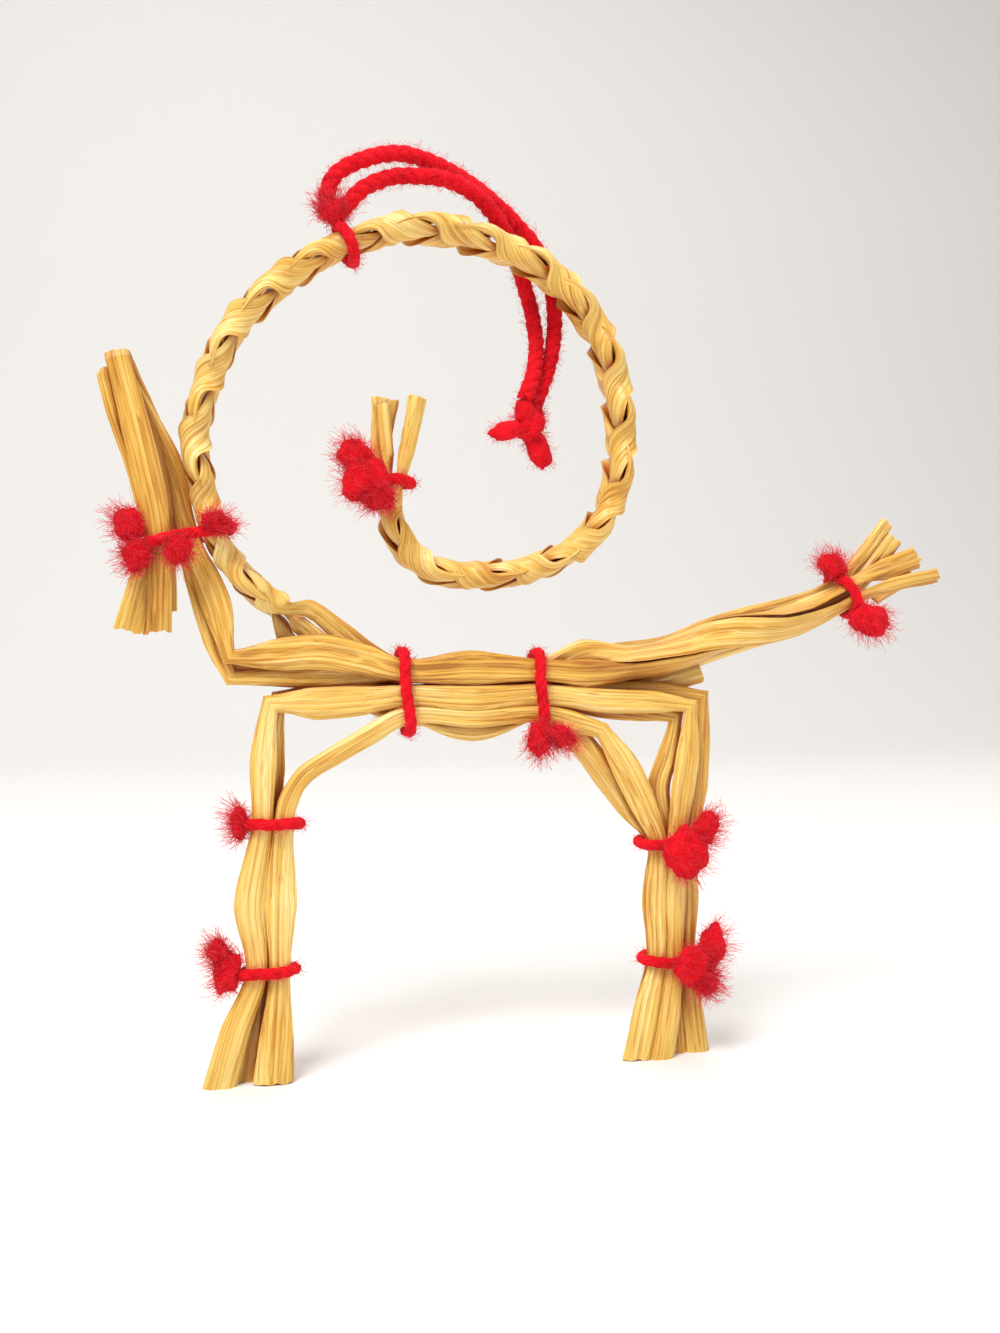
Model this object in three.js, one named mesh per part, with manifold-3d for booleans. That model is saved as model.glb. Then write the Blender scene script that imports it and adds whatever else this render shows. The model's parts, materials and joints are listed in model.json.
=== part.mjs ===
import * as THREE from 'three';
import { mergeVertices } from 'three/addons/utils/BufferGeometryUtils.js';
import Module from 'manifold-3d';

// A goat made of flattened wheat straws, bound with wool yarn. Millimetres, +Z up.
// The head points to -X and the tail to +X. The goat is flat: -Y is its show side, and it
// stands on the cut ends of its leg straws at Z = 0.

const wasm = await Module();
wasm.setup();

// Straws: width, thickness pressed flat under a tie, and the pitch of the layers they lie in.
const tiedThick = 1.05;
const layerPitch = 1.3;
const layer = { front: -1.95, second: -0.65, third: 0.65, back: 1.95 };
const row = { top: 53.1, middle: 49.8, low: 47.2 };
const openThick = 1.9;                       // a leg straw's cut end springs open again
const footPitch = 2.15;
const strawStep = 9;                         // longest stretch between two sections
const simplest = 0.04;                       // how far a fused tie may be simplified

// Heights of the leg ties and places of the body ties.
const chestX = -18.9;
const rumpX = -0.8;
const kneeZ = 29.5;
const frontKneeZ = 33.3;
const ankleZ = 13.4;
const frontAnkleZ = 14.2;

// The horn is a plait of three straws, seen on its edge.
const plait = {
  period: 24.0,        // one strand's way out and back
  deep: 2.15,          // swing towards the show side and away
  wide: 1.2,           // swing across the plait
  width: 3.45,
  thick: 0.67,
  rootWidth: 2.4,      // of each straw where they still lie side by side
  rootThick: 1.0,
  turn: 1.6,           // how soon a strand lies flat after its fold
  perPeriod: 12,
  grow: 8,             // length over which the straws gather at the root
  pinch: 0.24,         // how much a tie squeezes it
  pinchReach: 4.5,
};

// Wool yarn: the hanging loop's diameter, the band of a tie, and the clearance to the straws.
const yarn = { loop: 2.2, band: 1.8, bandThick: 1.1, gap: 0.3 };

const shiftY = -0.15;                        // brings the knots' depth evenly about Y = 0

const colours = {
  straw: { color: 0xe3b84f, roughness: 0.42, metalness: 0 },
  yarn: { color: 0xcf1126, roughness: 0.95, metalness: 0 },
};

const vec = (x, y, z) => new THREE.Vector3(x, y, z);
const lerp = THREE.MathUtils.lerp;
const smooth = (x) => THREE.MathUtils.smoothstep(x, 0, 1);
const rad = THREE.MathUtils.degToRad;

// A key says where a straw's middle is, how wide and thick it is there, which way its flat
// side looks, and whether it is creased there.
function key(x, y, z, width, thick = tiedThick, more = {}) {
  return { p: vec(x, y, z), width, thick, flat: vec(0, 1, 0), sharp: false, ...more };
}

const fold = { sharp: true };

// Fills in sections between the keys. Between two creases a straw bends smoothly.
function sections(keys) {
  const out = [];
  let start = 0;
  for (let i = 1; i < keys.length; i += 1) {
    if (!keys[i].sharp && i < keys.length - 1) continue;
    const run = keys.slice(start, i + 1);
    const curve = new THREE.CatmullRomCurve3(run.map((k) => k.p), false, 'centripetal');
    for (let j = 0; j < run.length - 1; j += 1) {
      const a = run[j];
      const b = run[j + 1];
      const parts = Math.max(1, Math.round(a.p.distanceTo(b.p) / strawStep));
      for (let n = 0; n < parts; n += 1) {
        const f = n / parts;
        out.push({
          p: curve.getPoint((j + f) / (run.length - 1)),
          width: lerp(a.width, b.width, f),
          thick: lerp(a.thick, b.thick, f),
          flat: a.flat.clone().lerp(b.flat, f),
        });
      }
    }
    start = i;
  }
  const last = keys[keys.length - 1];
  out.push({ p: last.p.clone(), width: last.width, thick: last.thick, flat: last.flat.clone() });
  return out;
}

// A closed straw: a pressed six-sided section carried through the stations, mitred at bends.
// An end marked level is cut along the ground.
const pressed = [[0.5, 0], [0.27, 0.5], [-0.27, 0.5], [-0.5, 0], [-0.27, -0.5], [0.27, -0.5]];
const leastMitre = 0.62;                     // holds a mitre back at a sharp fold

function strawGeometry(stations, level = []) {
  const corners = pressed;
  const sides = corners.length;
  const last = stations.length - 1;
  const points = [];
  stations.forEach((station, i) => {
    const before = i > 0 ? station.p.clone().sub(stations[i - 1].p).normalize() : null;
    const after = i < last ? stations[i + 1].p.clone().sub(station.p).normalize() : null;
    const along = (before ?? after).clone().add(after ?? before).normalize();
    const across = along.clone().cross(station.flat).normalize();
    const up = across.clone().cross(along).normalize();
    const half = before && after ? Math.max(leastMitre, along.dot(after)) : 1;
    const bend = before && after ? after.clone().sub(before) : vec(0, 0, 0);
    if (bend.length() > 1e-6) bend.normalize();
    const wider = 1 + (1 / half - 1) * Math.abs(bend.dot(across));
    const thicker = 1 + (1 / half - 1) * Math.abs(bend.dot(up));
    corners.forEach(([a, b]) => {
      const point = station.p.clone();
      point.addScaledVector(across, a * station.width * wider);
      point.addScaledVector(up, b * station.thick * thicker);
      if ((i === 0 && level.includes('start')) || (i === last && level.includes('end'))) {
        point.addScaledVector(along, -point.z / along.z);
      }
      points.push(point);
    });
  });
  const faces = [];
  for (let i = 0; i < last; i += 1) {
    for (let j = 0; j < sides; j += 1) {
      const a = i * sides + j;
      const b = i * sides + (j + 1) % sides;
      const [c, d] = [a + sides, b + sides];
      if (points[b].distanceTo(points[c]) < points[a].distanceTo(points[d])) faces.push(a, b, c, b, d, c);
      else faces.push(a, b, d, a, d, c);
    }
  }
  for (let j = 1; j < sides - 1; j += 1) {
    faces.push(0, j + 1, j);
    faces.push(last * sides, last * sides + j, last * sides + j + 1);
  }
  return outward(points, faces);
}

// Makes a geometry and turns it right side out.
function outward(points, faces) {
  let volume = 0;
  for (let i = 0; i < faces.length; i += 3) {
    const [a, b, c] = [points[faces[i]], points[faces[i + 1]], points[faces[i + 2]]];
    volume += a.dot(b.clone().cross(c));
  }
  if (volume < 0) faces.reverse();
  const geometry = new THREE.BufferGeometry();
  const flatList = points.flatMap((p) => [p.x, p.y, p.z]);
  geometry.setAttribute('position', new THREE.Float32BufferAttribute(flatList, 3));
  geometry.setIndex(faces);
  return geometry;
}

const group = new THREE.Group();
const straws = [];                           // their solids, so that a tie can measure its bundle

function toSolid(geometry) {
  const bare = geometry.clone();
  bare.deleteAttribute('normal');
  bare.deleteAttribute('uv');
  const welded = mergeVertices(bare, 1e-4);
  const triVerts = new Uint32Array(welded.index.array);
  return new wasm.Manifold(new wasm.Mesh({ numProp: 3, vertProperties: welded.attributes.position.array, triVerts }));
}

function toGeometry(solid) {
  const mesh = solid.simplify(simplest).getMesh();
  const geometry = new THREE.BufferGeometry();
  geometry.setAttribute('position', new THREE.BufferAttribute(new Float32Array(mesh.vertProperties), 3));
  geometry.setIndex([...mesh.triVerts]);
  return geometry;
}

function add(name, geometry, look) {
  if (look === 'straw') straws.push(toSolid(geometry));
  geometry.computeVertexNormals();
  const mesh = new THREE.Mesh(geometry, new THREE.MeshStandardMaterial(colours[look]));
  mesh.name = name;
  group.add(mesh);
}

// Head straws. Each runs from a cut end at the muzzle up through the head tie, folds over at
// the top of the head, comes down behind, makes the neck, turns along the back and is twisted
// into the tail. Straw 1 folds round the outside, straw 3 round the inside.
const tailAxis = new THREE.CatmullRomCurve3([
  vec(rumpX, -0.65, 53.1), vec(8, -0.65, 53.9), vec(13, -0.65, 54.2), vec(18, -0.65, 55.0),
  vec(23, -0.65, 56.9), vec(28, -0.65, 58.4), vec(33, -0.65, 59.4), vec(38, -0.65, 60.9),
  vec(43.9, -0.65, 63.5), vec(47.0, -0.65, 65.1),
], false, 'centripetal');

// Three straws twisted once about the tail's axis. X values say where the twist, the swell in
// its middle and the narrowing towards the tie lie.
const tail = {
  radius: 1.4,
  from: 12,
  until: 45.5,
  step: 3.7,
  twist: -110,
  twistFrom: 15,
  twistUntil: 38,
  swell: 0.12,
  swellFrom: 15,
  swellLength: 26,
  width: 3.2,
  tiedWidth: 2.5,
  tiedFrom: 41,
  thick: 0.95,
};

function tailSections(startAngle) {
  const out = [];
  const steps = Math.round((tail.until - tail.from) / tail.step);
  for (let i = 0; i <= steps; i += 1) {
    const x = tail.from + (tail.until - tail.from) * (i / steps);
    const u = paramAtX(tailAxis, x);
    const centre = tailAxis.getPoint(u);
    const along = tailAxis.getTangent(u);
    const up = vec(-along.z, 0, along.x);
    const turned = smooth((x - tail.twistFrom) / (tail.twistUntil - tail.twistFrom));
    const angle = rad(startAngle + tail.twist * turned);
    const side = vec(0, -Math.cos(angle), 0).addScaledVector(up, Math.sin(angle));
    const swollen = THREE.MathUtils.clamp((x - tail.swellFrom) / tail.swellLength, 0, 1);
    const bulge = 1 + tail.swell * Math.sin(Math.PI * swollen);
    const p = centre.clone().addScaledVector(side, tail.radius * bulge);
    const width = x > tail.tiedFrom ? tail.tiedWidth : tail.width;
    out.push({ p, width, thick: tail.thick, flat: side.clone().negate(), sharp: false });
  }
  return out;
}

function paramAtX(curve, x) {
  let low = 0;
  let high = 1;
  for (let i = 0; i < 40; i += 1) {
    const middle = (low + high) / 2;
    if (curve.getPoint(middle).x < x) low = middle;
    else high = middle;
  }
  return (low + high) / 2;
}

const headThick = 0.78;
const settleFrom = 72;                       // below this the neck straws move to their body layers
const settleHeight = 14;
const headStraws = [
  {
    face: -2.5, body: layer.third, angle: 180,
    up: [[-50.45, 58.0, 2.4], [-50.3, 66, 2.3], [-50.4, 70, 2.3], [-50.9, 73.5, 2.8], [-52.3, 80, 2.9],
      [-53.8, 86.4, 2.6], [-55.3, 92.2, 2.3]],
    top: [-55.5, 93.4],
    down: [[-55.0, 92.2, 2.5], [-49.9, 80, 2.8], [-48.4, 75.5, 2.6], [-46.9, 70, 2.3], [-44.6, 63, 2.6],
      [-42.9, 57.5, 2.6]],
    neck: [-41.7, 53.8, 2.6],
    chest: [[-36, 54.0, 2.8], [-30, 54.6, 3.0]],
    back: [-10, 53.8, 3.0],
    croup: [53.7, 2.7],
    end: [[50.5, 1.0, 67.2, 2.4, 0.9], [56.2, 1.3, 69.2, 2.5, 1.1]],
  },
  {
    face: -1.5, body: layer.second, angle: 60,
    up: [[-53.95, 58.0, 3.4], [-52.3, 64.5, 2.9], [-51.0, 69.8, 2.3], [-51.8, 75, 2.6], [-53.1, 80, 2.6],
      [-54.9, 85.5, 2.8], [-56.2, 90.4, 2.6]],
    top: [-56.2, 91.3],
    down: [[-55.6, 90.4, 2.5], [-50.5, 80, 2.8], [-48.8, 75.5, 2.6], [-47.2, 69.8, 2.3], [-45.5, 64.5, 2.7],
      [-44.2, 60, 2.7], [-43.0, 55.5, 2.5]],
    neck: [-41.6, 52.2, 2.2],
    chest: [[-36.5, 52.4, 2.1], [-29, 52.5, 2.5]],
    back: [-10, 52.3, 3.0],
    croup: [55.5, 2.6],
    end: [[50, -2.0, 64.8, 2.2, 1.3], [57.3, -2.2, 66.4, 2.0, 1.5]],
  },
  {
    face: -0.5, body: layer.front, angle: -60,
    up: [[-49.75, 60.6, 2.2], [-49.7, 66, 2.2], [-49.9, 70, 2.2], [-50.3, 74, 2.6], [-51.6, 80, 2.7],
      [-53.2, 85.5, 2.6], [-54.9, 89.8, 2.4]],
    top: [-54.9, 90.3],
    down: [[-54.7, 89.8, 2.4], [-49.6, 80, 2.8], [-48.3, 75.8, 2.6], [-46.6, 69.9, 2.3], [-44.5, 64.8, 2.8],
      [-43.2, 61, 2.9], [-42.5, 58, 2.6]],
    neck: [-41.8, 55.0, 2.3],
    chest: [[-36.5, 55.2, 3.1], [-30, 55.6, 3.5], [-24.5, 54.5, 3.0]],
    back: [-10, 53.4, 3.3],
    croup: [52.7, 2.9],
    end: [[49.5, 1.2, 63.2, 2.0, 0.9], [55.5, 1.5, 66.7, 1.8, 1.0]],
  },
];

const crown = vec(-0.15, 0, 1);              // which way a head straw's fold looks

function headKeys(straw) {
  const front = { flat: vec(0, -1, 0) };
  const behind = { flat: vec(0, 1, 0) };
  const keys = straw.up.map(([x, z, w]) => key(x, straw.face, z, w, headThick, front));
  keys[keys.length - 1].sharp = true;
  const [topX, topZ] = straw.top;
  keys.push(key(topX, 0, topZ, 2.4, headThick, { flat: crown, sharp: true }));
  straw.down.forEach(([x, z, w], i) => {
    const settle = smooth((settleFrom - z) / settleHeight);
    const y = lerp(-straw.face, straw.body, settle);
    const thick = lerp(headThick, tiedThick * 0.92, settle);
    keys.push(key(x, y, z, w, thick, { ...behind, sharp: i === 0 }));
  });
  const [neckX, neckZ, neckW] = straw.neck;
  keys.push(key(neckX, straw.body, neckZ, neckW, tiedThick * 0.95, fold));
  straw.chest.forEach(([x, z, w]) => keys.push(key(x, straw.body, z, w)));
  keys.push(key(chestX, straw.body, row.top, 2.5));
  keys.push(key(straw.back[0], straw.body, straw.back[1], straw.back[2]));
  keys.push(key(rumpX, straw.body, row.top, 2.5));
  keys.push(key(5.5, straw.body, straw.croup[0], straw.croup[1]));
  keys.push(...tailSections(straw.angle));
  straw.end.forEach(([x, y, z, w, t]) => keys.push(key(x, y, z, w, t)));
  return keys;
}

headStraws.forEach((straw, i) => {
  add(`head_straw_${i + 1}`, strawGeometry(sections(headKeys(straw))), 'straw');
});

// Leg straws. Each runs from the front foot up the leg, folds into the body, passes both body
// ties and folds down the hind leg. The two brace straws leave the leg at the knee tie and
// join the body's low edge, so they prop both legs.
function footKey(x, rank, width) {
  return key(x, rank * footPitch, 0, width, openThick);
}

function legKeys(leg) {
  const keys = [footKey(...leg.frontFoot)];
  leg.frontLeg.forEach((k) => keys.push(key(...k)));
  leg.frontTurn.forEach((k) => keys.push(key(...k)));
  keys.push(key(chestX, leg.body, leg.row, leg.tied));
  keys.push(key(...leg.belly));
  keys.push(key(rumpX, leg.body, leg.row, leg.tied));
  leg.hindTurn.forEach((k) => keys.push(key(...k)));
  leg.hindLeg.forEach((k) => keys.push(key(...k)));
  keys.push(footKey(...leg.hindFoot));
  return keys;
}

const thin = tiedThick;
const legStraws = {
  leg_straw_1: {
    body: layer.front, row: row.middle, tied: 2.5,
    frontFoot: [-43.2, -1, 3.2],
    frontLeg: [[-41.2, -1.8, 7, 2.9, 1.5], [-38.5, -layerPitch, frontAnkleZ, 2.4], [-39.3, -layerPitch, 23, 3.1],
      [-37.7, -layerPitch, frontKneeZ, 2.4], [-37.6, -1.5, 40, 2.7], [-37.3, -1.9, 44.5, 2.6]],
    frontTurn: [[-36.6, layer.front, 48.9, 2.9, thin, fold], [-31, layer.front, 48.9, 3.4], [-25, layer.front, 49.2, 3.0]],
    belly: [-10, layer.front, 49.3, 2.8],
    hindTurn: [[8, layer.front, 48.9, 2.5], [16, layer.front, 48.6, 2.5], [20.2, layer.front, 48.1, 2.4, thin, fold]],
    hindLeg: [[19.9, -1.9, 42, 2.6], [19.2, -1.6, 36, 2.7], [18.4, -layerPitch, kneeZ, 2.3],
      [18.2, -layerPitch, 21, 2.4], [18.2, -layerPitch, ankleZ, 2.2], [17.3, -1.8, 7, 2.7, 1.5]],
    hindFoot: [15.9, -1, 3.0],
  },
  leg_straw_2: {
    body: layer.third, row: row.middle, tied: 2.5,
    frontFoot: [-41.4, 1, 3.1],
    frontLeg: [[-39.3, 1.8, 7, 2.9, 1.5], [-37.2, layerPitch, frontAnkleZ, 2.5], [-37.6, layerPitch, 23, 3.1],
      [-36.4, layerPitch, frontKneeZ, 2.5], [-36.4, 1.1, 40, 2.8], [-36.2, 0.8, 45, 2.7]],
    frontTurn: [[-35.4, layer.third, 49.4, 2.8, thin, fold], [-29, layer.third, 49.8, 3.0]],
    belly: [-10, layer.third, 49.7, 3.0],
    hindTurn: [[8, layer.third, 49.8, 2.5], [17, layer.third, 49.7, 2.5], [22.8, layer.third, 49.2, 2.5, thin, fold]],
    hindLeg: [[22.4, 0.5, 44, 2.6], [21.8, 0.2, 37, 2.7], [20.8, 0, kneeZ, 2.2],
      [20.7, 0, 21, 2.3], [20.5, 0, ankleZ, 2.1], [21.1, 0, 7, 2.5, 1.5]],
    hindFoot: [21.9, 0, 2.9],
  },
  leg_straw_3: {
    body: layer.second, row: row.middle, tied: 2.5,
    frontFoot: [-39.9, 0, 2.9],
    frontLeg: [[-39.1, 0, 7, 2.7, 1.4], [-38.3, 0, frontAnkleZ, 2.4], [-38.9, 0, 23, 3.0],
      [-37.5, 0, frontKneeZ, 2.4], [-37.1, -0.2, 40, 2.7], [-36.7, -0.5, 44.5, 2.6]],
    frontTurn: [[-35.9, layer.second, 48.9, 2.8, thin, fold], [-30, layer.second, 49.4, 3.0]],
    belly: [-10, layer.second, 49.0, 3.0],
    hindTurn: [[8, layer.second, 48.2, 2.6], [14, layer.second, 47.5, 2.6], [18.6, layer.second, 46.6, 2.5, thin, fold]],
    hindLeg: [[17.5, -0.6, 41.5, 2.5], [16.2, -0.5, 37.2, 2.5], [16.9, -0.2, 33.2, 2.3], [18.3, 0, kneeZ, 2.2],
      [18.2, 0, 21, 2.3], [18.1, 0, ankleZ, 2.1], [18.3, 0, 7, 2.4, 1.4]],
    hindFoot: [18.75, 0, 2.7],
  },
  brace_straw_1: {
    body: layer.front, row: row.low, tied: 2.0,
    frontFoot: [-36.4, -1, 3.8],
    frontLeg: [[-35.9, -1.8, 7, 3.0, 1.5], [-35.5, -layerPitch, frontAnkleZ, 2.4], [-35.4, -layerPitch, 23, 3.1],
      [-34.9, -layerPitch, frontKneeZ, 2.3]],
    frontTurn: [[-34.3, -1.5, 36.4, 2.2], [-32.4, -1.75, 39.6, 2.2], [-28.4, layer.front, 42.3, 2.1],
      [-24.2, layer.front, 44.7, 2.1]],
    belly: [-10, layer.front, 46.8, 1.7],
    hindTurn: [[3.2, layer.front, 46.2, 2.6], [7.6, layer.front, 44.9, 2.8, thin, fold], [11, -1.9, 39.8, 3.0],
      [14.1, -1.6, 33.7, 2.7]],
    hindLeg: [[15.8, -layerPitch, kneeZ, 2.2], [15.7, -layerPitch, 21, 2.4], [15.8, -layerPitch, ankleZ, 2.2],
      [14.2, -1.8, 7, 2.7, 1.5]],
    hindFoot: [12.6, -1, 3.0],
  },
  brace_straw_2: {
    body: layer.second, row: row.low, tied: 2.0,
    frontFoot: [-36.6, 0, 3.2],
    frontLeg: [[-35.9, 0, 7, 2.9, 1.4], [-35.5, 0, frontAnkleZ, 2.4], [-35.4, 0, 23, 3.0],
      [-34.8, 0, frontKneeZ, 2.2]],
    frontTurn: [[-34.1, -0.2, 36.6, 2.2], [-32.2, -0.4, 39.3, 2.1], [-28.2, layer.second, 41.8, 2.0],
      [-24, layer.second, 44.1, 2.0]],
    belly: [-10, layer.second, 45.3, 2.3],
    hindTurn: [[2.2, layer.second, 45.8, 2.4], [4.8, layer.second, 43.5, 2.5, thin, fold],
      [8.6, -0.6, 38.7, 2.7], [12.3, -0.3, 33.8, 2.5]],
    hindLeg: [[15.6, 0, kneeZ, 2.2], [15.6, 0, 21, 2.4], [15.8, 0.1, ankleZ, 2.1], [15.1, 1.2, 7, 2.5, 1.4]],
    hindFoot: [14.3, 1, 3.0],
  },
};

Object.entries(legStraws).forEach(([name, leg]) => {
  add(name, strawGeometry(sections(legKeys(leg)), ['start', 'end']), 'straw');
});

// Horn straws. They lie side by side along the far side of the body, gather behind the chest,
// and are plaited up the neck, through the head tie, round the big curl and into the tip tie.
const hornCurve = new THREE.CatmullRomCurve3([
  [-31.7, 58.4], [-36.9, 62.4], [-41.3, 67.0], [-43.7, 71.0], [-44.9, 76.0], [-45.9, 82.0], [-44.6, 89.0],
  [-41.7, 96.0], [-37.3, 101.3], [-31.0, 106.3], [-24.5, 109.6], [-17.0, 111.3], [-8.5, 110.2], [0.2, 106.6],
  [5.9, 101.2], [9.4, 93.8], [10.7, 85.0], [9.6, 76.6], [5.6, 70.6], [-1.0, 67.0], [-8.5, 65.8],
  [-14.6, 66.4], [-19.0, 69.3], [-20.6, 73.5], [-20.7, 77.7],
].map(([x, z]) => vec(x, 0, z)), false, 'centripetal');
hornCurve.arcLengthDivisions = 800;
const hornLength = hornCurve.getLength();
const hornLooks = 600;                       // how finely a place along it is looked for
const hornAt = (x, z) => {                       // length along the horn nearest to a point
  let best = 0;
  let nearest = Infinity;
  for (let i = 0; i <= hornLooks; i += 1) {
    const d = hornCurve.getPointAt(i / hornLooks).distanceTo(vec(x, 0, z));
    if (d < nearest) {
      nearest = d;
      best = (i / hornLooks) * hornLength;
    }
  }
  return best;
};
const headTieAt = hornAt(-43.6, 70.6);
const hitchAt = hornAt(-26.7, 108.7);
const tipTieAt = hornLength;
const squeezes = [headTieAt, hitchAt, tipTieAt];

const hornStraws = [
  { phase: 120, root: 2.7, rootTurn: 0, row: row.low, tied: 2.1 },
  { phase: 0, root: -2.7, rootTurn: 0, row: row.top, tied: 2.5, tipTurned: true },
  { phase: 240, root: 0, rootTurn: 180, row: row.middle, tied: 2.5 },
];

// Where a strand is in the plait after some length: across, towards the show side, and the
// angle its flat side has turned.
function plaitOffset(length, straw) {
  const t = (2 * Math.PI * length) / plait.period + rad(straw.phase);
  const lie = Math.tanh(plait.turn * Math.cos(t)) / Math.tanh(plait.turn);
  return { across: plait.wide * Math.sin(2 * t), near: plait.deep * Math.sin(t), turn: (Math.PI / 2) * lie };
}

function plaitSections(straw) {
  const out = [];
  const steps = Math.round((hornLength / plait.period) * plait.perPeriod);
  for (let i = 0; i <= steps; i += 1) {
    const length = (hornLength * i) / steps;
    const centre = hornCurve.getPointAt(i / steps);
    const along = hornCurve.getTangentAt(i / steps);
    const outer = vec(-along.z, 0, along.x);
    const near = vec(0, -1, 0);
    const grown = smooth(length / plait.grow);
    const squeeze = squeezes.reduce(
      (sum, at) => sum - plait.pinch * Math.exp(-(((length - at) / plait.pinchReach) ** 2)), 1);
    const o = plaitOffset(Math.max(length, plait.grow), straw);
    const across = lerp(straw.root, o.across * squeeze, grown);
    const close = lerp(-layer.back, o.near * squeeze, grown);
    const turn = lerp(rad(straw.rootTurn), o.turn, grown);
    const p = centre.clone().addScaledVector(outer, across).addScaledVector(near, close);
    const flat = near.clone().multiplyScalar(-Math.cos(turn)).addScaledVector(outer, -Math.sin(turn));
    out.push({
      p,
      flat,
      width: lerp(plait.rootWidth, plait.width * squeeze, grown),
      thick: lerp(plait.rootThick, plait.thick * squeeze, grown),
      sharp: false,
    });
  }
  return out;
}

const hornRoots = [
  [[23.4, 1.95, 52.5, 2.0, 0.9], [16, 1.95, 50.6, 2.1, 1.0], [8, 1.95, 49.0, 2.2]],
  [[51.8, 2.4, 74.2, 1.6, 1.1], [47.3, 2.3, 68.8, 1.8, 1.0], [43.6, 2.2, 64.8, 2.2, 1.0], [37, 2.3, 61.9, 2.4, 1.0],
    [30, 2.3, 60.2, 2.5, 1.0], [24, 2.25, 58.4, 2.5, 1.0], [18, 2.2, 56.1, 2.5, 1.0], [10, 2.1, 55.0, 2.5, 1.0]],
  [[52.9, 2.4, 71.9, 2.2, 1.2], [48.3, 2.3, 66.3, 2.0, 1.0], [44.4, 2.2, 62.4, 2.2, 1.0], [38, 2.3, 59.4, 2.4, 1.0],
    [31, 2.3, 57.6, 2.5, 1.0], [24.5, 2.25, 55.6, 2.5, 1.0], [18, 2.2, 53.5, 2.5, 1.0], [10, 2.1, 52.4, 2.5, 1.0]],
];
const hornGather = [[-26.9, 50.5, 2.1], [-23.4, 55.2, 2.4], [-25.2, 52.9, 2.3]];
const hornTips = [
  [[-18.9, -1.1, 81.5, 2.2, 1.1], [-17.2, -0.7, 89.1, 2.4, 1.7]],
  [[-21.2, 0, 81.5, 1.8, 0.9], [-21.9, 0, 88.2, 1.7, 1.2]],
  [[-21.9, 1.3, 82.5, 2.7, 0.8], [-21.2, 1.7, 89.2, 3.6, 1.0]],
];

hornStraws.forEach((straw, i) => {
  const keys = hornRoots[i].map((k) => key(...k));
  keys.push(key(rumpX, layer.back, straw.row, straw.tied));
  keys.push(key(-10, layer.back, straw.row - 0.3, straw.tied + 0.2));
  keys.push(key(chestX, layer.back, straw.row, straw.tied));
  const [gatherX, gatherZ, gatherW] = hornGather[i];
  keys.push(key(gatherX, layer.back, gatherZ, gatherW));
  if (straw.rootTurn) keys.forEach((k) => k.flat.negate());
  keys.push(...plaitSections(straw));
  const tip = hornTips[i].map((k) => key(...k));
  if (straw.tipTurned) tip.forEach((k) => k.flat.negate());
  keys.push(...tip);
  add(`horn_straw_${i + 1}`, strawGeometry(sections(keys)), 'straw');
});

// Yarn ties. Each is a band once round its bundle, fused with the knot and the fluffed ends.
// at: X and Z of its middle; lean: the bundle's direction; reach: how far out its straws lie;
// tufts: middle, half sizes and tilt of each lump.
const ties = {
  head_tie: { at: [-47.2, 70.2], lean: 101, reach: 6.5, tufts: [
    [-54.0, -3.2, 71.4, 2.0, 1.5, 2.4, -20], [-53.1, -4.1, 67.6, 1.9, 1.4, 2.4, 10],
    [-48, -4.5, 68.4, 1.8, 1.3, 2.1, 0], [-43.4, -4.5, 71.9, 2.2, 1.2, 1.3, 10]] },
  chest_tie: { at: [chestX, 50.4], lean: 3, reach: 5.5, tufts: [
    [-18.7, 4.6, 52.3, 1.7, 1.4, 2.4, 0], [-19.3, 4.6, 48.7, 1.9, 1.5, 2.3, 0]] },
  rump_tie: { at: [rumpX, 50.4], lean: 2, reach: 5.5, tufts: [
    [-1.6, -4.1, 44.1, 1.8, 1.5, 2.7, -5], [1.2, -4.2, 44.4, 2.3, 1.4, 1.6, 15]] },
  tail_tie: { at: [43.9, 63.6], lean: 30, reach: 4.6, tufts: [
    [41.3, -1.4, 67.6, 2.5, 1.7, 1.8, 20], [46.3, -2.8, 60.0, 3.3, 1.8, 2.5, 15]] },
  horn_tip_tie: { at: [-20.7, 77.8], lean: 95, reach: 3.6, tufts: [
    [-24.6, -3.7, 77.6, 3.5, 1.7, 3.4, 0], [-25.8, -2.9, 80.8, 2.4, 1.6, 2.7, -25],
    [-22.9, -4.6, 75.3, 2.2, 1.2, 1.8, 0]] },
  front_knee_tie: { at: [-36.3, frontKneeZ], lean: 90, reach: 4.5, tufts: [
    [-40.6, -1.0, 33.6, 1.2, 1.5, 2.5, 0], [-36.3, 3.8, 33.3, 2.0, 1.4, 1.6, 0]] },
  front_ankle_tie: { at: [-37, frontAnkleZ], lean: 91, reach: 4.5, tufts: [
    [-42.1, -1.5, 14.6, 1.9, 1.7, 3.2, 8], [-43.3, -1.6, 17.2, 1.4, 1.4, 1.9, 0]] },
  hind_knee_tie: { at: [18.3, kneeZ], lean: 89, reach: 5, tufts: [
    [18.9, -4.1, 28.2, 3.7, 1.6, 3.9, 0], [21.9, -3.4, 31.4, 1.9, 1.5, 3.0, 15]] },
  hind_ankle_tie: { at: [18.2, ankleZ], lean: 89, reach: 5, tufts: [
    [19.9, -4.0, 13.0, 2.8, 1.5, 3.1, 0], [23.0, -2.7, 14.8, 2.1, 1.8, 3.9, 10],
    [21.9, -3.6, 10.5, 1.9, 1.4, 2.0, 0]] },
};

const slabDepth = 14;

// The part of the straws that a tie grips, as a box in the tie's own frame.
function grip(tie, frame) {
  const slab = wasm.Manifold.cube([2 * tie.reach, slabDepth, yarn.band], true);
  const local = frame.clone().invert();
  const box = new THREE.Box3();
  straws.forEach((solid) => {
    const piece = solid.transform(local.elements).intersect(slab);
    if (piece.isEmpty()) return;
    const { min, max } = piece.boundingBox();
    box.union(new THREE.Box3(vec(...min), vec(...max)));
  });
  return box;
}

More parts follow.
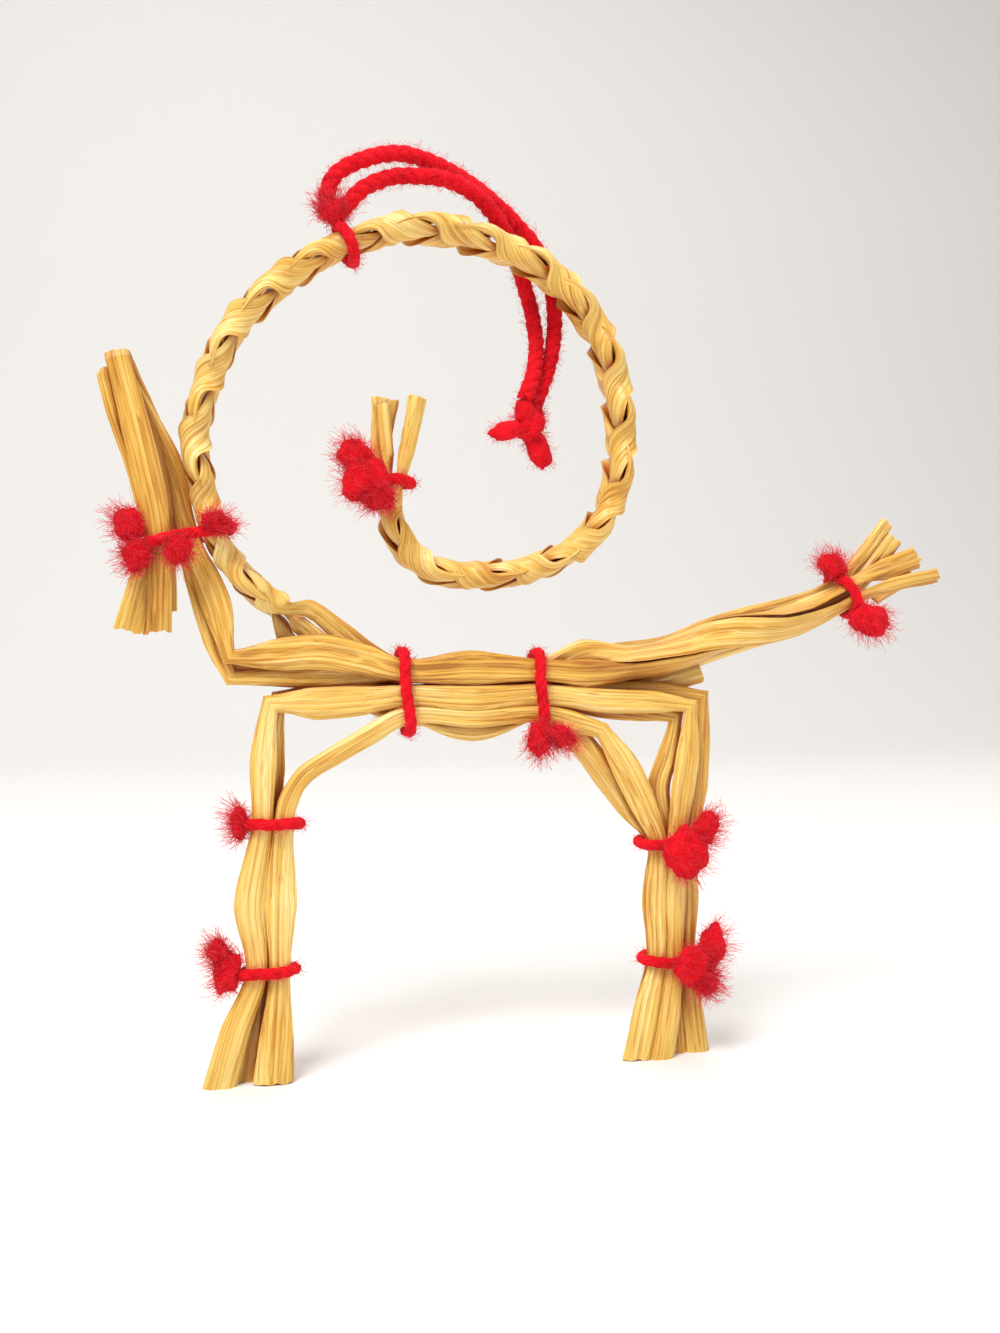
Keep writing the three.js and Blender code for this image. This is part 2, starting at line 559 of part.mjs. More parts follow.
// A band of yarn round a box: a rounded rectangle with a flattened six-sided section.
function bandGeometry(box) {
  const section = [[0.5, 0.28], [0, 0.5], [-0.5, 0.28], [-0.5, -0.28], [0, -0.5], [0.5, -0.28]];
  const radius = yarn.gap + yarn.bandThick / 2;
  const corners = [[box.max.x, box.max.y, 0], [box.min.x, box.max.y, 90], [box.min.x, box.min.y, 180],
    [box.max.x, box.min.y, 270]];
  const points = [];
  corners.forEach(([x, y, start]) => [0, 45, 90].forEach((turn) => {
    const angle = rad(start + turn);
    const out = vec(Math.cos(angle), Math.sin(angle), 0);
    section.forEach(([a, b]) => {
      const p = vec(x, y, 0).addScaledVector(out, radius + a * yarn.bandThick);
      p.z = b * yarn.band;
      points.push(p);
    });
  }));
  const sides = section.length;
  const faces = [];
  for (let i = 0; i < points.length; i += sides) {
    for (let j = 0; j < sides; j += 1) {
      const next = (i + sides) % points.length;
      const k = (j + 1) % sides;
      faces.push(i + j, i + k, next + j, i + k, next + k, next + j);
    }
  }
  return outward(points, faces);
}

// One lump of fluffed yarn.
function tuft([x, y, z, rx, ry, rz, tilt]) {
  const ball = new THREE.SphereGeometry(1, 8, 4).scale(rx, ry, rz).rotateY(rad(tilt)).translate(x, y, z);
  return toSolid(ball);
}

function tieFrame(tie) {
  const angle = rad(tie.lean);
  const along = vec(Math.cos(angle), 0, Math.sin(angle));
  const across = vec(along.z, 0, -along.x);
  return new THREE.Matrix4().makeBasis(across, vec(0, 1, 0), along).setPosition(tie.at[0], 0, tie.at[1]);
}

function tieSolid(tie) {
  const frame = tieFrame(tie);
  const band = toSolid(bandGeometry(grip(tie, frame)).applyMatrix4(frame));
  return tie.tufts.reduce((solid, lump) => solid.add(tuft(lump)), band);
}

Object.entries(ties).forEach(([name, tie]) => add(name, toGeometry(tieSolid(tie)), 'yarn'));

// Hanging loop: one yarn hitched round the horn. Its two strands rise over the horn, pass
// behind it and hang down inside the curl, where they are knotted together.
const hitch = {
  at: [-26.7, 108.8], lean: 33, reach: 4.6,
  tufts: [[-28.3, -1.6, 112.2, 2.0, 1.7, 1.8, 0], [-29.0, -0.9, 113.4, 1.3, 1.3, 1.6, 0],
    [-27.0, -0.9, 112.7, 1.3, 1.3, 1.6, 0]],
  top: { normal: vec(0.45, 0, 0.89).normalize(), point: vec(-28.1, -0.9, 113.6) },
};
const strandKeys = [
  [[-29.3, -0.9, 114.2], [-28.2, -0.9, 117.1], [-24.8, -0.9, 119.3], [-20, -0.5, 120.7], [-16, 0.2, 120.3],
    [-10.8, 1.3, 118.5], [-7.0, 2.6, 116.6], [-3.1, 4.3, 114.1], [-0.1, 5.2, 111.4], [1.7, 5.3, 108.0],
    [2.6, 5.1, 104.0], [2.7, 4.9, 100.5], [2.3, 4.6, 97.0], [1.3, 4.5, 93.3], [-0.1, 4.4, 89.6]],
  [[-26.9, -0.9, 113.0], [-24.6, -0.9, 115.6], [-21.2, -0.9, 117.3], [-17.8, -0.9, 117.8], [-13.1, -0.9, 117.5],
    [-9.6, -0.2, 116.2], [-6.9, 1.3, 114.4], [-4.5, 3.4, 112.1], [-2.9, 4.8, 109.5], [-1.6, 5.1, 106.0],
    [-0.4, 4.9, 101.5], [-0.1, 4.0, 97.0], [-0.9, 2.8, 93.2], [-2.2, 2.2, 89.8]],
];
const knot = {
  topZ: 89.0,
  tufts: [[-1.3, 3.3, 86.5, 2.0, 2.0, 2.3, 0], [-0.3, 4.4, 88.2, 1.3, 1.3, 1.7, 0], [-2.2, 2.3, 88.2, 1.3, 1.3, 1.7, 0],
    [-4.4, 2.6, 85.6, 2.5, 1.25, 1.25, -18], [0.4, 3.6, 82.8, 1.5, 1.4, 2.2, -30]],
};

const strandSteps = 15;

function strandGeometry(keys) {
  const path = new THREE.CatmullRomCurve3(keys.map((k) => vec(...k)), false, 'centripetal');
  const circle = new THREE.Shape().absarc(0, 0, yarn.loop / 2, 0, 2 * Math.PI);
  return new THREE.ExtrudeGeometry(circle, { steps: strandSteps, curveSegments: 4, extrudePath: path });
}

function hitchSolid() {
  const { normal, point } = hitch.top;
  const offset = normal.dot(point) - yarn.gap;
  return tieSolid(hitch).trimByPlane(normal.clone().negate().toArray(), -offset);
}

add('hanger_hitch', toGeometry(hitchSolid()), 'yarn');
strandKeys.forEach((keys, i) => add(`hanger_strand_${i + 1}`, strandGeometry(keys), 'yarn'));
const knotSolid = knot.tufts.map(tuft).reduce((a, b) => a.add(b)).trimByPlane([0, 0, -1], -knot.topZ);
add('hanger_knot', toGeometry(knotSolid), 'yarn');

group.children.forEach((mesh) => mesh.geometry.translate(0, shiftY, 0));

export default group;
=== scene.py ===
import json
import math

import bmesh
import bpy
import numpy as np
from mathutils import Matrix, Vector
from mathutils.bvhtree import BVHTree

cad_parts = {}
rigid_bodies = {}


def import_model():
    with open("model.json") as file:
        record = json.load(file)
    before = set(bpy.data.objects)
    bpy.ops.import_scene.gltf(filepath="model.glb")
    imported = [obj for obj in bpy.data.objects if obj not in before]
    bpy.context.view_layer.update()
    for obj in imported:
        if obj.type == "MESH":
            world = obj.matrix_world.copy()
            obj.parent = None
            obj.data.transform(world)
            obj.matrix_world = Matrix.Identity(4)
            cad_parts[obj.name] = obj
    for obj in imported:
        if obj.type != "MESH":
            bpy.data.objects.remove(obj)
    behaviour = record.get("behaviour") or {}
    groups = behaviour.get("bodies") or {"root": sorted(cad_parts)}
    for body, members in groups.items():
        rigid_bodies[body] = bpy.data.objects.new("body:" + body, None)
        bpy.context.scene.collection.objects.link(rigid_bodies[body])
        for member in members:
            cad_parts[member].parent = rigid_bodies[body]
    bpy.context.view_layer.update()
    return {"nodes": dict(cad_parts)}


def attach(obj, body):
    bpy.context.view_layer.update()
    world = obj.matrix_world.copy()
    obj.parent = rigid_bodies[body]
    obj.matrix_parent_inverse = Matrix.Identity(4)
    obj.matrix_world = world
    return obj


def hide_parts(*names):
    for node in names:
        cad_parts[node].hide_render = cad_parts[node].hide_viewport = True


for obj in list(bpy.data.objects):
    bpy.data.objects.remove(obj)
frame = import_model()
mm = 0.001


def linear(code):  # sRGB hex to the linear colour that shaders want
    channels = [int(code[i:i + 2], 16) / 255 for i in (1, 3, 5)]
    return tuple(c / 12.92 if c <= 0.04045 else ((c + 0.055) / 1.055) ** 2.4 for c in channels) + (1.0,)


def addNode(tree, kind, inputs=None, stops=(), **settings):  # stops: places and colours of a colour ramp
    node = tree.nodes.new(kind)
    for name, value in settings.items():
        setattr(node, name, value)
    for key, value in (inputs or {}).items():
        if isinstance(value, bpy.types.Node):  # a node stands for its first output
            value = value.outputs[0]
        if isinstance(value, bpy.types.NodeSocket):
            tree.links.new(value, node.inputs[key])
        else:
            node.inputs[key].default_value = value
    for _ in stops[2:]:
        node.color_ramp.elements.new(0.5)
    for n, (place, code) in enumerate(stops):
        node.color_ramp.elements[n].position = place
        node.color_ramp.elements[n].color = linear(code)
    return node


# camera
cameraSetup = {
    "place": (-46.9, -184.2, 57.0),   # mm, close in front of the goat and a little to its left
    "heading": 12.5,                  # degrees to the right of straight on
    "tilt": -1.04,
    "lens": 38.0,
}


def makeCamera(setup):
    data = bpy.data.cameras.new("camera")
    data.lens = setup["lens"]
    data.clip_start = 0.01
    data.clip_end = 10
    camera = bpy.data.objects.new("camera", data)
    camera.location = Vector(setup["place"]) * mm
    camera.rotation_euler = (math.radians(90 + setup["tilt"]), 0, math.radians(-setup["heading"]))
    bpy.context.scene.collection.objects.link(camera)
    bpy.context.scene.camera = camera


makeCamera(cameraSetup)
print("camera placed")

# hanging loop: the route of its two strands, the same as the CAD's
yarn = {
    "diameter": 2.2,          # mm, the loop's yarn
    "tieDiameter": 1.55,
    "plies": 3,
    "plyOffset": 0.4,         # of the yarn's radius, how far a ply's middle is from the yarn's
    "plyRadius": 0.64,        # of the yarn's radius
    "plySides": 7,
    "twist": 210,             # turns a metre
    "step": 0.3,              # mm between a ply's rings
    "shiftY": -0.15,          # where the CAD puts the loop's route in depth
}
strandRoutes = [
    [(-29.3, -0.9, 114.2), (-28.2, -0.9, 117.1), (-24.8, -0.9, 119.3), (-20, -0.5, 120.7), (-16, 0.2, 120.3),
     (-10.8, 1.3, 118.5), (-7.0, 2.6, 116.6), (-3.1, 4.3, 114.1), (-0.1, 5.2, 111.4), (1.7, 5.3, 108.0),
     (2.6, 5.1, 104.0), (2.7, 4.9, 100.5), (2.3, 4.6, 97.0), (1.3, 4.5, 93.3), (-0.1, 4.4, 89.6)],
    [(-26.9, -0.9, 113.0), (-24.6, -0.9, 115.6), (-21.2, -0.9, 117.3), (-17.8, -0.9, 117.8),
     (-13.1, -0.9, 117.5), (-9.6, -0.2, 116.2), (-6.9, 1.3, 114.4), (-4.5, 3.4, 112.1), (-2.9, 4.8, 109.5),
     (-1.6, 5.1, 106.0), (-0.4, 4.9, 101.5), (-0.1, 4.0, 97.0), (-0.9, 2.8, 93.2), (-2.2, 2.2, 89.8)],
]


def unit(rows):
    return rows / np.linalg.norm(rows, axis=1)[:, None]


def distances(points):  # of each point from the first, along the line
    return np.concatenate([[0], np.cumsum(np.linalg.norm(np.diff(points, axis=0), axis=1))])


def sampled(at, places, points):  # the line read at other places along it
    return np.stack([np.interp(at, places, points[:, k]) for k in range(3)], axis=1)


def catmull(a, b, c, d, share):  # centripetal, from b to c
    t0 = 0.0
    t1, t2, t3 = np.cumsum([max(np.linalg.norm(q - p), 1e-9) ** 0.5 for p, q in ((a, b), (b, c), (c, d))])
    t = t1 + (t2 - t1) * share
    ab = (a * (t1 - t) + b * (t - t0)) / (t1 - t0)
    bc = (b * (t2 - t) + c * (t - t1)) / (t2 - t1)
    cd = (c * (t3 - t) + d * (t - t2)) / (t3 - t2)
    abc = (ab * (t2 - t) + bc * (t - t0)) / (t2 - t0)
    bcd = (bc * (t3 - t) + cd * (t - t1)) / (t3 - t1)
    return (abc * (t2 - t) + bcd * (t - t1)) / (t2 - t1)


def smoothLine(keys, step):  # through the keys, evenly stepped
    keys = [np.array(k, float) for k in keys]
    ends = [2 * keys[0] - keys[1], *keys, 2 * keys[-1] - keys[-2]]
    out = []
    for a, b, c, d in zip(ends, ends[1:], ends[2:], ends[3:]):
        parts = max(1, int(np.linalg.norm(c - b) / step))
        out += [catmull(a, b, c, d, n / parts) for n in range(parts)]
    return evenly(np.array(out + [keys[-1]]), step)


def evenly(points, step, closed=False):
    ring = np.vstack([points, points[:1]]) if closed else points
    lengths = distances(ring)
    count = max(4, round(lengths[-1] / step))
    return sampled(np.linspace(0, lengths[-1], count + 1)[: count if closed else None], lengths, ring)


def lengthOf(points, closed=False):
    ring = np.vstack([points, points[:1]]) if closed else points
    return float(np.linalg.norm(np.diff(ring, axis=0), axis=1).sum())


def newTree(name, sockets, result):  # an empty geometry tree, and what its inputs give
    group = bpy.data.node_groups.new(name, "GeometryNodeTree")
    for label, kind in sockets.items():
        group.interface.new_socket(label, in_out="INPUT", socket_type="NodeSocket" + kind)
    group.interface.new_socket(result, in_out="OUTPUT", socket_type="NodeSocketGeometry")
    return group, group.nodes.new("NodeGroupInput").outputs


def closeTree(group, shape, material):
    real = addNode(group, "GeometryNodeRealizeInstances", {"Geometry": shape})
    dyed = addNode(group, "GeometryNodeSetMaterial", {"Geometry": real, "Material": material})
    addNode(group, "NodeGroupOutput", {0: dyed})
    return group


# geometry nodes: plies twisted along a line
def makePlyNodes():
    group, given = newTree("twistedPlies", {
        "Line": "Geometry", "Radius": "Float", "Plies": "Int", "Twist": "Float", "Step": "Float",
        "Material": "Material"}, "Yarn")
    line = addNode(group, "GeometryNodeResampleCurve", {"Curve": given["Line"], "Length": given["Step"]},
                   mode="LENGTH")
    copies = addNode(group, "GeometryNodeDuplicateElements", {"Geometry": line, "Amount": given["Plies"]},
                     domain="SPLINE")
    along = group.nodes.new("GeometryNodeSplineParameter").outputs["Length"]
    turns = addNode(group, "ShaderNodeMath", {0: along, 1: given["Twist"]}, operation="MULTIPLY")
    turned = addNode(group, "ShaderNodeMath", {0: turns, 1: 2 * math.pi}, operation="MULTIPLY")
    share = addNode(group, "ShaderNodeMath", {0: copies.outputs["Duplicate Index"], 1: given["Plies"]},
                    operation="DIVIDE")
    start = addNode(group, "ShaderNodeMath", {0: share, 1: 2 * math.pi}, operation="MULTIPLY")
    angle = addNode(group, "ShaderNodeMath", {0: turned, 1: start}, operation="ADD")
    normal = addNode(group, "GeometryNodeInputNormal")
    tangent = addNode(group, "GeometryNodeInputTangent")
    side = addNode(group, "ShaderNodeVectorMath", {0: tangent, 1: normal}, operation="CROSS_PRODUCT")
    ways = []
    for way, operation in ((normal, "COSINE"), (side, "SINE")):
        amount = addNode(group, "ShaderNodeMath", {0: angle}, operation=operation)
        ways.append(addNode(group, "ShaderNodeVectorMath", {0: way, "Scale": amount}, operation="SCALE"))
    outward = addNode(group, "ShaderNodeVectorMath", {0: ways[0], 1: ways[1]}, operation="ADD")
    aside = addNode(group, "ShaderNodeMath", {0: given["Radius"], 1: yarn["plyOffset"]}, operation="MULTIPLY")
    offset = addNode(group, "ShaderNodeVectorMath", {0: outward, "Scale": aside}, operation="SCALE")
    placed = addNode(group, "GeometryNodeSetPosition", {"Geometry": copies, "Offset": offset})
    length = addNode(group, "GeometryNodeCaptureAttribute", {"Geometry": placed})
    length.capture_items.new("FLOAT", "length")
    group.links.new(along, length.inputs["length"])
    radius = addNode(group, "ShaderNodeMath", {0: given["Radius"], 1: yarn["plyRadius"]}, operation="MULTIPLY")
    circle = addNode(group, "GeometryNodeCurvePrimitiveCircle", {
        "Resolution": yarn["plySides"], "Radius": radius})
    around = addNode(group, "GeometryNodeCaptureAttribute", {"Geometry": circle})
    around.capture_items.new("FLOAT", "around")
    group.links.new(group.nodes.new("GeometryNodeSplineParameter").outputs["Factor"], around.inputs["around"])
    tube = addNode(group, "GeometryNodeCurveToMesh", {
        "Curve": length, "Profile Curve": around, "Fill Caps": True})
    where = addNode(group, "ShaderNodeCombineXYZ", {0: around.outputs["around"], 1: length.outputs["length"]})
    stored = addNode(group, "GeometryNodeStoreNamedAttribute", {
        "Geometry": tube, "Name": "yarnPlace", "Value": where}, data_type="FLOAT_VECTOR", domain="POINT")
    smooth = addNode(group, "GeometryNodeSetShadeSmooth", {"Geometry": stored})
    return closeTree(group, smooth, given["Material"])


# geometry nodes: loose fibres standing off a surface
fibreKinds = ((0.35, 0.1), (0.6, -0.35), (0.2, 0.55))  # how far a fibre's middle and its end swing aside


def makeFibreNodes():
    group, given = newTree("looseFibres", {
        "Surface": "Geometry", "Density": "Float", "Length": "Float", "Radius": "Float", "Bend": "Float",
        "Root": "Vector", "Fan": "Float", "Stand": "Float", "Wild": "Float", "Seed": "Int",
        "Material": "Material"}, "Fibres")
    spread = addNode(group, "GeometryNodeDistributePointsOnFaces", {
        "Mesh": given["Surface"], "Density": given["Density"], "Seed": given["Seed"]})
    here = addNode(group, "GeometryNodeInputPosition")
    away = addNode(group, "ShaderNodeVectorMath", {0: here, 1: given["Root"]}, operation="SUBTRACT")
    away = addNode(group, "ShaderNodeVectorMath", {0: away}, operation="NORMALIZE")
    toss = addNode(group, "FunctionNodeRandomValue", {0: (-1, -1, -1), 1: (1, 1, 1), "Seed": given["Seed"]},
                   data_type="FLOAT_VECTOR")
    ways = [addNode(group, "ShaderNodeVectorMath", {0: way, "Scale": given[amount]}, operation="SCALE")
            for way, amount in ((away, "Fan"), (spread.outputs["Normal"], "Stand"), (toss, "Wild"))]
    heading = addNode(group, "ShaderNodeVectorMath", {0: ways[0], 1: ways[1]}, operation="ADD")
    heading = addNode(group, "ShaderNodeVectorMath", {0: heading, 1: ways[2]}, operation="ADD")
    aimed = addNode(group, "FunctionNodeAlignRotationToVector", {"Vector": heading}, axis="Z")
    roll = addNode(group, "FunctionNodeRandomValue", {2: 0.0, 3: 6.28, "Seed": given["Seed"]},
                   data_type="FLOAT")
    spin = addNode(group, "FunctionNodeAxisAngleToRotation", {"Axis": (0, 0, 1), "Angle": roll.outputs[1]})
    rolled = addNode(group, "FunctionNodeRotateRotation", {"Rotation": aimed, "Rotate By": spin},
                     rotation_space="LOCAL")
    size = addNode(group, "FunctionNodeRandomValue", {2: 0.45, 3: 1.25, "Seed": given["Seed"]},
                   data_type="FLOAT")
    stretch = addNode(group, "ShaderNodeCombineXYZ", {k: given["Length"] for k in range(3)})
    hair = addNode(group, "GeometryNodeCurvePrimitiveCircle", {"Resolution": 3, "Radius": given["Radius"]})
    factor = group.nodes.new("GeometryNodeSplineParameter").outputs["Factor"]
    kinds = group.nodes.new("GeometryNodeGeometryToInstance")
    for swing, curl in fibreKinds:
        bends = [addNode(group, "ShaderNodeMath", {0: given["Bend"], 1: share}, operation="MULTIPLY")
                 for share in (swing, curl, swing * 0.5)]
        middle = addNode(group, "ShaderNodeCombineXYZ", {0: bends[0], 2: 0.5})
        end = addNode(group, "ShaderNodeCombineXYZ", {0: bends[1], 1: bends[2], 2: 1.0})
        arc = addNode(group, "GeometryNodeCurveQuadraticBezier", {
            "Resolution": 3, "Start": (0, 0, -0.25), "Middle": middle, "End": end})
        reach = addNode(group, "GeometryNodeCaptureAttribute", {"Geometry": arc})
        reach.capture_items.new("FLOAT", "reach")
        group.links.new(factor, reach.inputs["reach"])
        longer = addNode(group, "GeometryNodeTransform", {"Geometry": reach, "Scale": stretch})
        tube = addNode(group, "GeometryNodeCurveToMesh", {
            "Curve": longer, "Profile Curve": hair, "Fill Caps": True})
        marked = addNode(group, "GeometryNodeStoreNamedAttribute", {
            "Geometry": tube, "Name": "reach", "Value": reach.outputs["reach"]},
            data_type="FLOAT", domain="POINT")
        group.links.new(marked.outputs[0], kinds.inputs[0])
    placed = addNode(group, "GeometryNodeInstanceOnPoints", {
        "Points": spread, "Instance": kinds, "Pick Instance": True, "Rotation": rolled,
        "Scale": size.outputs[1]})
    return closeTree(group, placed, given["Material"])


def runNodes(source, group, values, name):  # the source through a node group, kept as a plain mesh
    modifier = source.modifiers.new("nodes", "NODES")
    modifier.node_group = group
    sockets = {s.name: s.identifier for s in group.interface.items_tree if s.in_out == "INPUT"}
    for key, value in values.items():
        modifier[sockets[key]] = value
    graph = bpy.context.evaluated_depsgraph_get()
    graph.update()
    mesh = bpy.data.meshes.new_from_object(source.evaluated_get(graph), preserve_all_data_layers=True,
                                           depsgraph=graph)
    source.modifiers.remove(modifier)
    mesh.name = name
    return mesh


def lineObject(points, closed=False):
    data = bpy.data.curves.new("line", "CURVE")
    data.dimensions = "3D"
    spline = data.splines.new("POLY")
    spline.points.add(len(points) - 1)
    for spot, p in zip(spline.points, points):
        spot.co = (*p, 1)
    spline.use_cyclic_u = closed
    obj = bpy.data.objects.new("line", data)
    bpy.context.scene.collection.objects.link(obj)
    return obj


def meshObject(name, mesh):
    obj = bpy.data.objects.new(name, mesh)
    bpy.context.scene.collection.objects.link(obj)
    return obj


def joined(name, meshes):  # several meshes as one object, their attributes kept
    parts = [meshObject(name, m) for m in meshes]
    with bpy.context.temp_override(active_object=parts[0], selected_editable_objects=parts):
        bpy.ops.object.join()
    parts[0].name = name
    return parts[0]


def finishPiece(obj, node):
    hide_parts(node)
    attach(obj, "root")
    return obj


# wool: dyed yarn, matt and fluffy, with a painted highlight that makes each loose fibre's end paler
woolLook = {
    "deep": "#9c000c",
    "red": "#dd0719",
    "bright": "#f21a30",
    # painted highlight on the loose fibres' ends
    "fibreEndHighlight": "#f4637a",
    "sheen": "#ff5a68",
    "slant": 0.5,             # turns a mm of the fibres round a ply
    "fibresRound": 14.0,      # round a ply; real ones are finer than a render shows
    "fibresAlong": 0.9,       # a mm
    "patches": 0.42,          # a mm, paler and darker spots
    "relief": 0.12,           # mm
}


def makeWool(look):
    made = bpy.data.materials.new("dyedWoolYarn")
    made.use_nodes = True
    tree = made.node_tree
    tree.nodes.clear()
    place = addNode(tree, "ShaderNodeAttribute", attribute_name="yarnPlace").outputs["Vector"]
    reach = addNode(tree, "ShaderNodeAttribute", attribute_name="reach").outputs["Fac"]
    around, along = addNode(tree, "ShaderNodeSeparateXYZ", {0: place}).outputs[:2]
    lean = addNode(tree, "ShaderNodeMath", {0: along, 1: look["slant"] / mm}, operation="MULTIPLY")
    slant = addNode(tree, "ShaderNodeMath", {0: around, 1: lean}, operation="ADD")
    across = addNode(tree, "ShaderNodeMath", {0: slant, 1: look["fibresRound"]}, operation="MULTIPLY")
    length = addNode(tree, "ShaderNodeMath", {0: along, 1: look["fibresAlong"] / mm}, operation="MULTIPLY")
    fine = addNode(tree, "ShaderNodeCombineXYZ", {0: across, 1: length})
    lines = addNode(tree, "ShaderNodeTexNoise", {"Vector": fine, "Scale": 1.0, "Detail": 3.0}).outputs["Fac"]
    here = addNode(tree, "ShaderNodeTexCoord").outputs["Object"]
    patches = addNode(tree, "ShaderNodeTexNoise", {
        "Vector": here, "Scale": look["patches"] / mm, "Detail": 2.0}).outputs["Fac"]
    parts = [addNode(tree, "ShaderNodeMath", {0: pattern, 1: part}, operation="MULTIPLY")
             for pattern, part in ((lines, 0.65), (patches, 0.35))]
    depth = addNode(tree, "ShaderNodeMath", {0: parts[0], 1: parts[1]}, operation="ADD")
    dyed = addNode(tree, "ShaderNodeValToRGB", {"Fac": depth}, stops=(
        (0.28, look["deep"]), (0.5, look["red"]), (0.74, look["bright"])))
    # painted highlight: paler pink toward each loose fibre's end
    tipHighlight = addNode(tree, "ShaderNodeMath", {0: reach, 1: 0.25}, operation="MULTIPLY", use_clamp=True)
    pale = addNode(tree, "ShaderNodeMix", {"Factor": tipHighlight, 6: dyed, 7: linear(look["fibreEndHighlight"])},
                   data_type="RGBA").outputs[2]
    bump = addNode(tree, "ShaderNodeBump", {"Strength": 0.6, "Distance": look["relief"] * mm, "Height": lines})
    shader = addNode(tree, "ShaderNodeBsdfPrincipled", {
        "Base Color": pale, "Roughness": 0.9, "Normal": bump, "Specular IOR Level": 0.2,
        "Sheen Weight": 0.3, "Sheen Roughness": 0.45, "Sheen Tint": linear(look["sheen"]),
        "Subsurface Weight": 0.1, "Subsurface Radius": (1.0, 0.2, 0.15), "Subsurface Scale": 0.8 * mm})
    addNode(tree, "ShaderNodeOutputMaterial", {"Surface": shader})
    return made


plyNodes = makePlyNodes()
fibreNodes = makeFibreNodes()
wool = makeWool(woolLook)


def yarnMesh(points, diameter, closed=False):  # points in mm
    length = lengthOf(points, closed)
    turns = yarn["twist"] * mm * length
    if closed:
        turns = round(turns * yarn["plies"]) / yarn["plies"]
    line = lineObject(np.array(points) * mm, closed)
    mesh = runNodes(line, plyNodes, {
        "Radius": diameter / 2 * mm, "Plies": yarn["plies"], "Twist": turns / (length * mm),
        "Step": yarn["step"] * mm, "Material": wool}, "plies")
    bpy.data.objects.remove(line)
    return mesh


halo = {                      # loose fibres on the yarn
    "density": 3.4e6,         # a m2
    "length": 0.9,            # mm
    "radius": 0.019,          # mm
    "bend": 1.1,
    "fan": 0.0,               # how much they point away from a root
    "stand": 0.6,             # how much they stand straight off the surface
    "wild": 0.95,             # how much they point anywhere
}


def fibreMesh(surface, seed, root=(0, 0, 0), **changes):
    setup = {**halo, **changes}
    source = meshObject("surface", surface)
    mesh = runNodes(source, fibreNodes, {
        "Density": setup["density"], "Length": setup["length"] * mm, "Radius": setup["radius"] * mm,
        "Bend": setup["bend"], "Fan": setup["fan"], "Root": Vector(root) * mm, "Stand": setup["stand"],
        "Wild": setup["wild"], "Seed": seed, "Material": wool}, "fibres")
    bpy.data.objects.remove(source)
    return mesh


for number, route in enumerate(strandRoutes, 1):
    line = smoothLine([(x, y + yarn["shiftY"], z) for x, y, z in route], 0.5)
    body = yarnMesh(line, yarn["diameter"])
    piece = joined(f"hangerYarn{number}", [body, fibreMesh(body.copy(), number)])
    finishPiece(piece, f"hanger_strand_{number}")
    print("strand", number, round(lengthOf(line), 1), "mm,", len(piece.data.polygons), "faces")


# ties: a yarn band round the bundle where it is narrowest, with tufts of cut yarn
# at is the band's middle in X and Z, lean the bundle's direction, and a tuft its centre, radii and tilt
tieSetups = {
    "head_tie": {"at": (-47.2, 70.2), "lean": 101, "reach": 6.5, "tufts": [
        (-54.0, -3.2, 71.4, 2.0, 1.5, 2.4, -20), (-53.1, -4.1, 67.6, 1.9, 1.4, 2.4, 10),
        (-48, -4.5, 68.4, 1.8, 1.3, 2.1, 0), (-43.4, -4.5, 71.9, 2.2, 1.2, 1.3, 10)]},
    "chest_tie": {"at": (-18.9, 50.4), "lean": 3, "reach": 5.5, "tufts": [
        (-18.7, 4.6, 52.3, 1.7, 1.4, 2.4, 0), (-19.3, 4.6, 48.7, 1.9, 1.5, 2.3, 0)]},
    "rump_tie": {"at": (-0.8, 50.4), "lean": 2, "reach": 5.5, "tufts": [
        (-1.6, -4.1, 44.1, 1.8, 1.5, 2.7, -5), (1.2, -4.2, 44.4, 2.3, 1.4, 1.6, 15)]},
    "tail_tie": {"at": (43.9, 63.6), "lean": 30, "reach": 4.6, "tufts": [
        (41.3, -1.4, 67.6, 2.5, 1.7, 1.8, 20), (46.3, -2.8, 60.0, 3.3, 1.8, 2.5, 15)]},
    "horn_tip_tie": {"at": (-20.7, 77.8), "lean": 95, "reach": 3.6, "tufts": [
        (-24.6, -3.7, 77.6, 3.5, 1.7, 3.4, 0), (-25.8, -2.9, 80.8, 2.4, 1.6, 2.7, -25),
        (-22.9, -4.6, 75.3, 2.2, 1.2, 1.8, 0)]},
    "front_knee_tie": {"at": (-36.3, 33.3), "lean": 90, "reach": 4.5, "tufts": [
        (-40.6, -1.0, 33.6, 1.2, 1.5, 2.5, 0), (-36.3, 3.8, 33.3, 2.0, 1.4, 1.6, 0)]},
    "front_ankle_tie": {"at": (-37, 14.2), "lean": 91, "reach": 4.5, "tufts": [
        (-42.1, -1.5, 14.6, 1.9, 1.7, 3.2, 8), (-43.3, -1.6, 17.2, 1.4, 1.4, 1.9, 0)]},
    "hind_knee_tie": {"at": (18.3, 29.5), "lean": 89, "reach": 5, "tufts": [
        (18.9, -4.1, 28.2, 3.7, 1.6, 3.9, 0), (21.9, -3.4, 31.4, 1.9, 1.5, 3.0, 15)]},
    "hind_ankle_tie": {"at": (18.2, 13.4), "lean": 89, "reach": 5, "tufts": [
        (19.9, -4.0, 13.0, 2.8, 1.5, 3.1, 0), (23.0, -2.7, 14.8, 2.1, 1.8, 3.9, 10),
        (21.9, -3.6, 10.5, 1.9, 1.4, 2.0, 0)]},
    "hanger_hitch": {"at": (-26.7, 108.8), "lean": 33, "reach": 4.6, "tufts": [
        (-28.3, -1.6, 112.2, 2.0, 1.7, 1.8, 0), (-29.0, -0.9, 112.9, 1.3, 1.3, 1.4, 0)]},
}


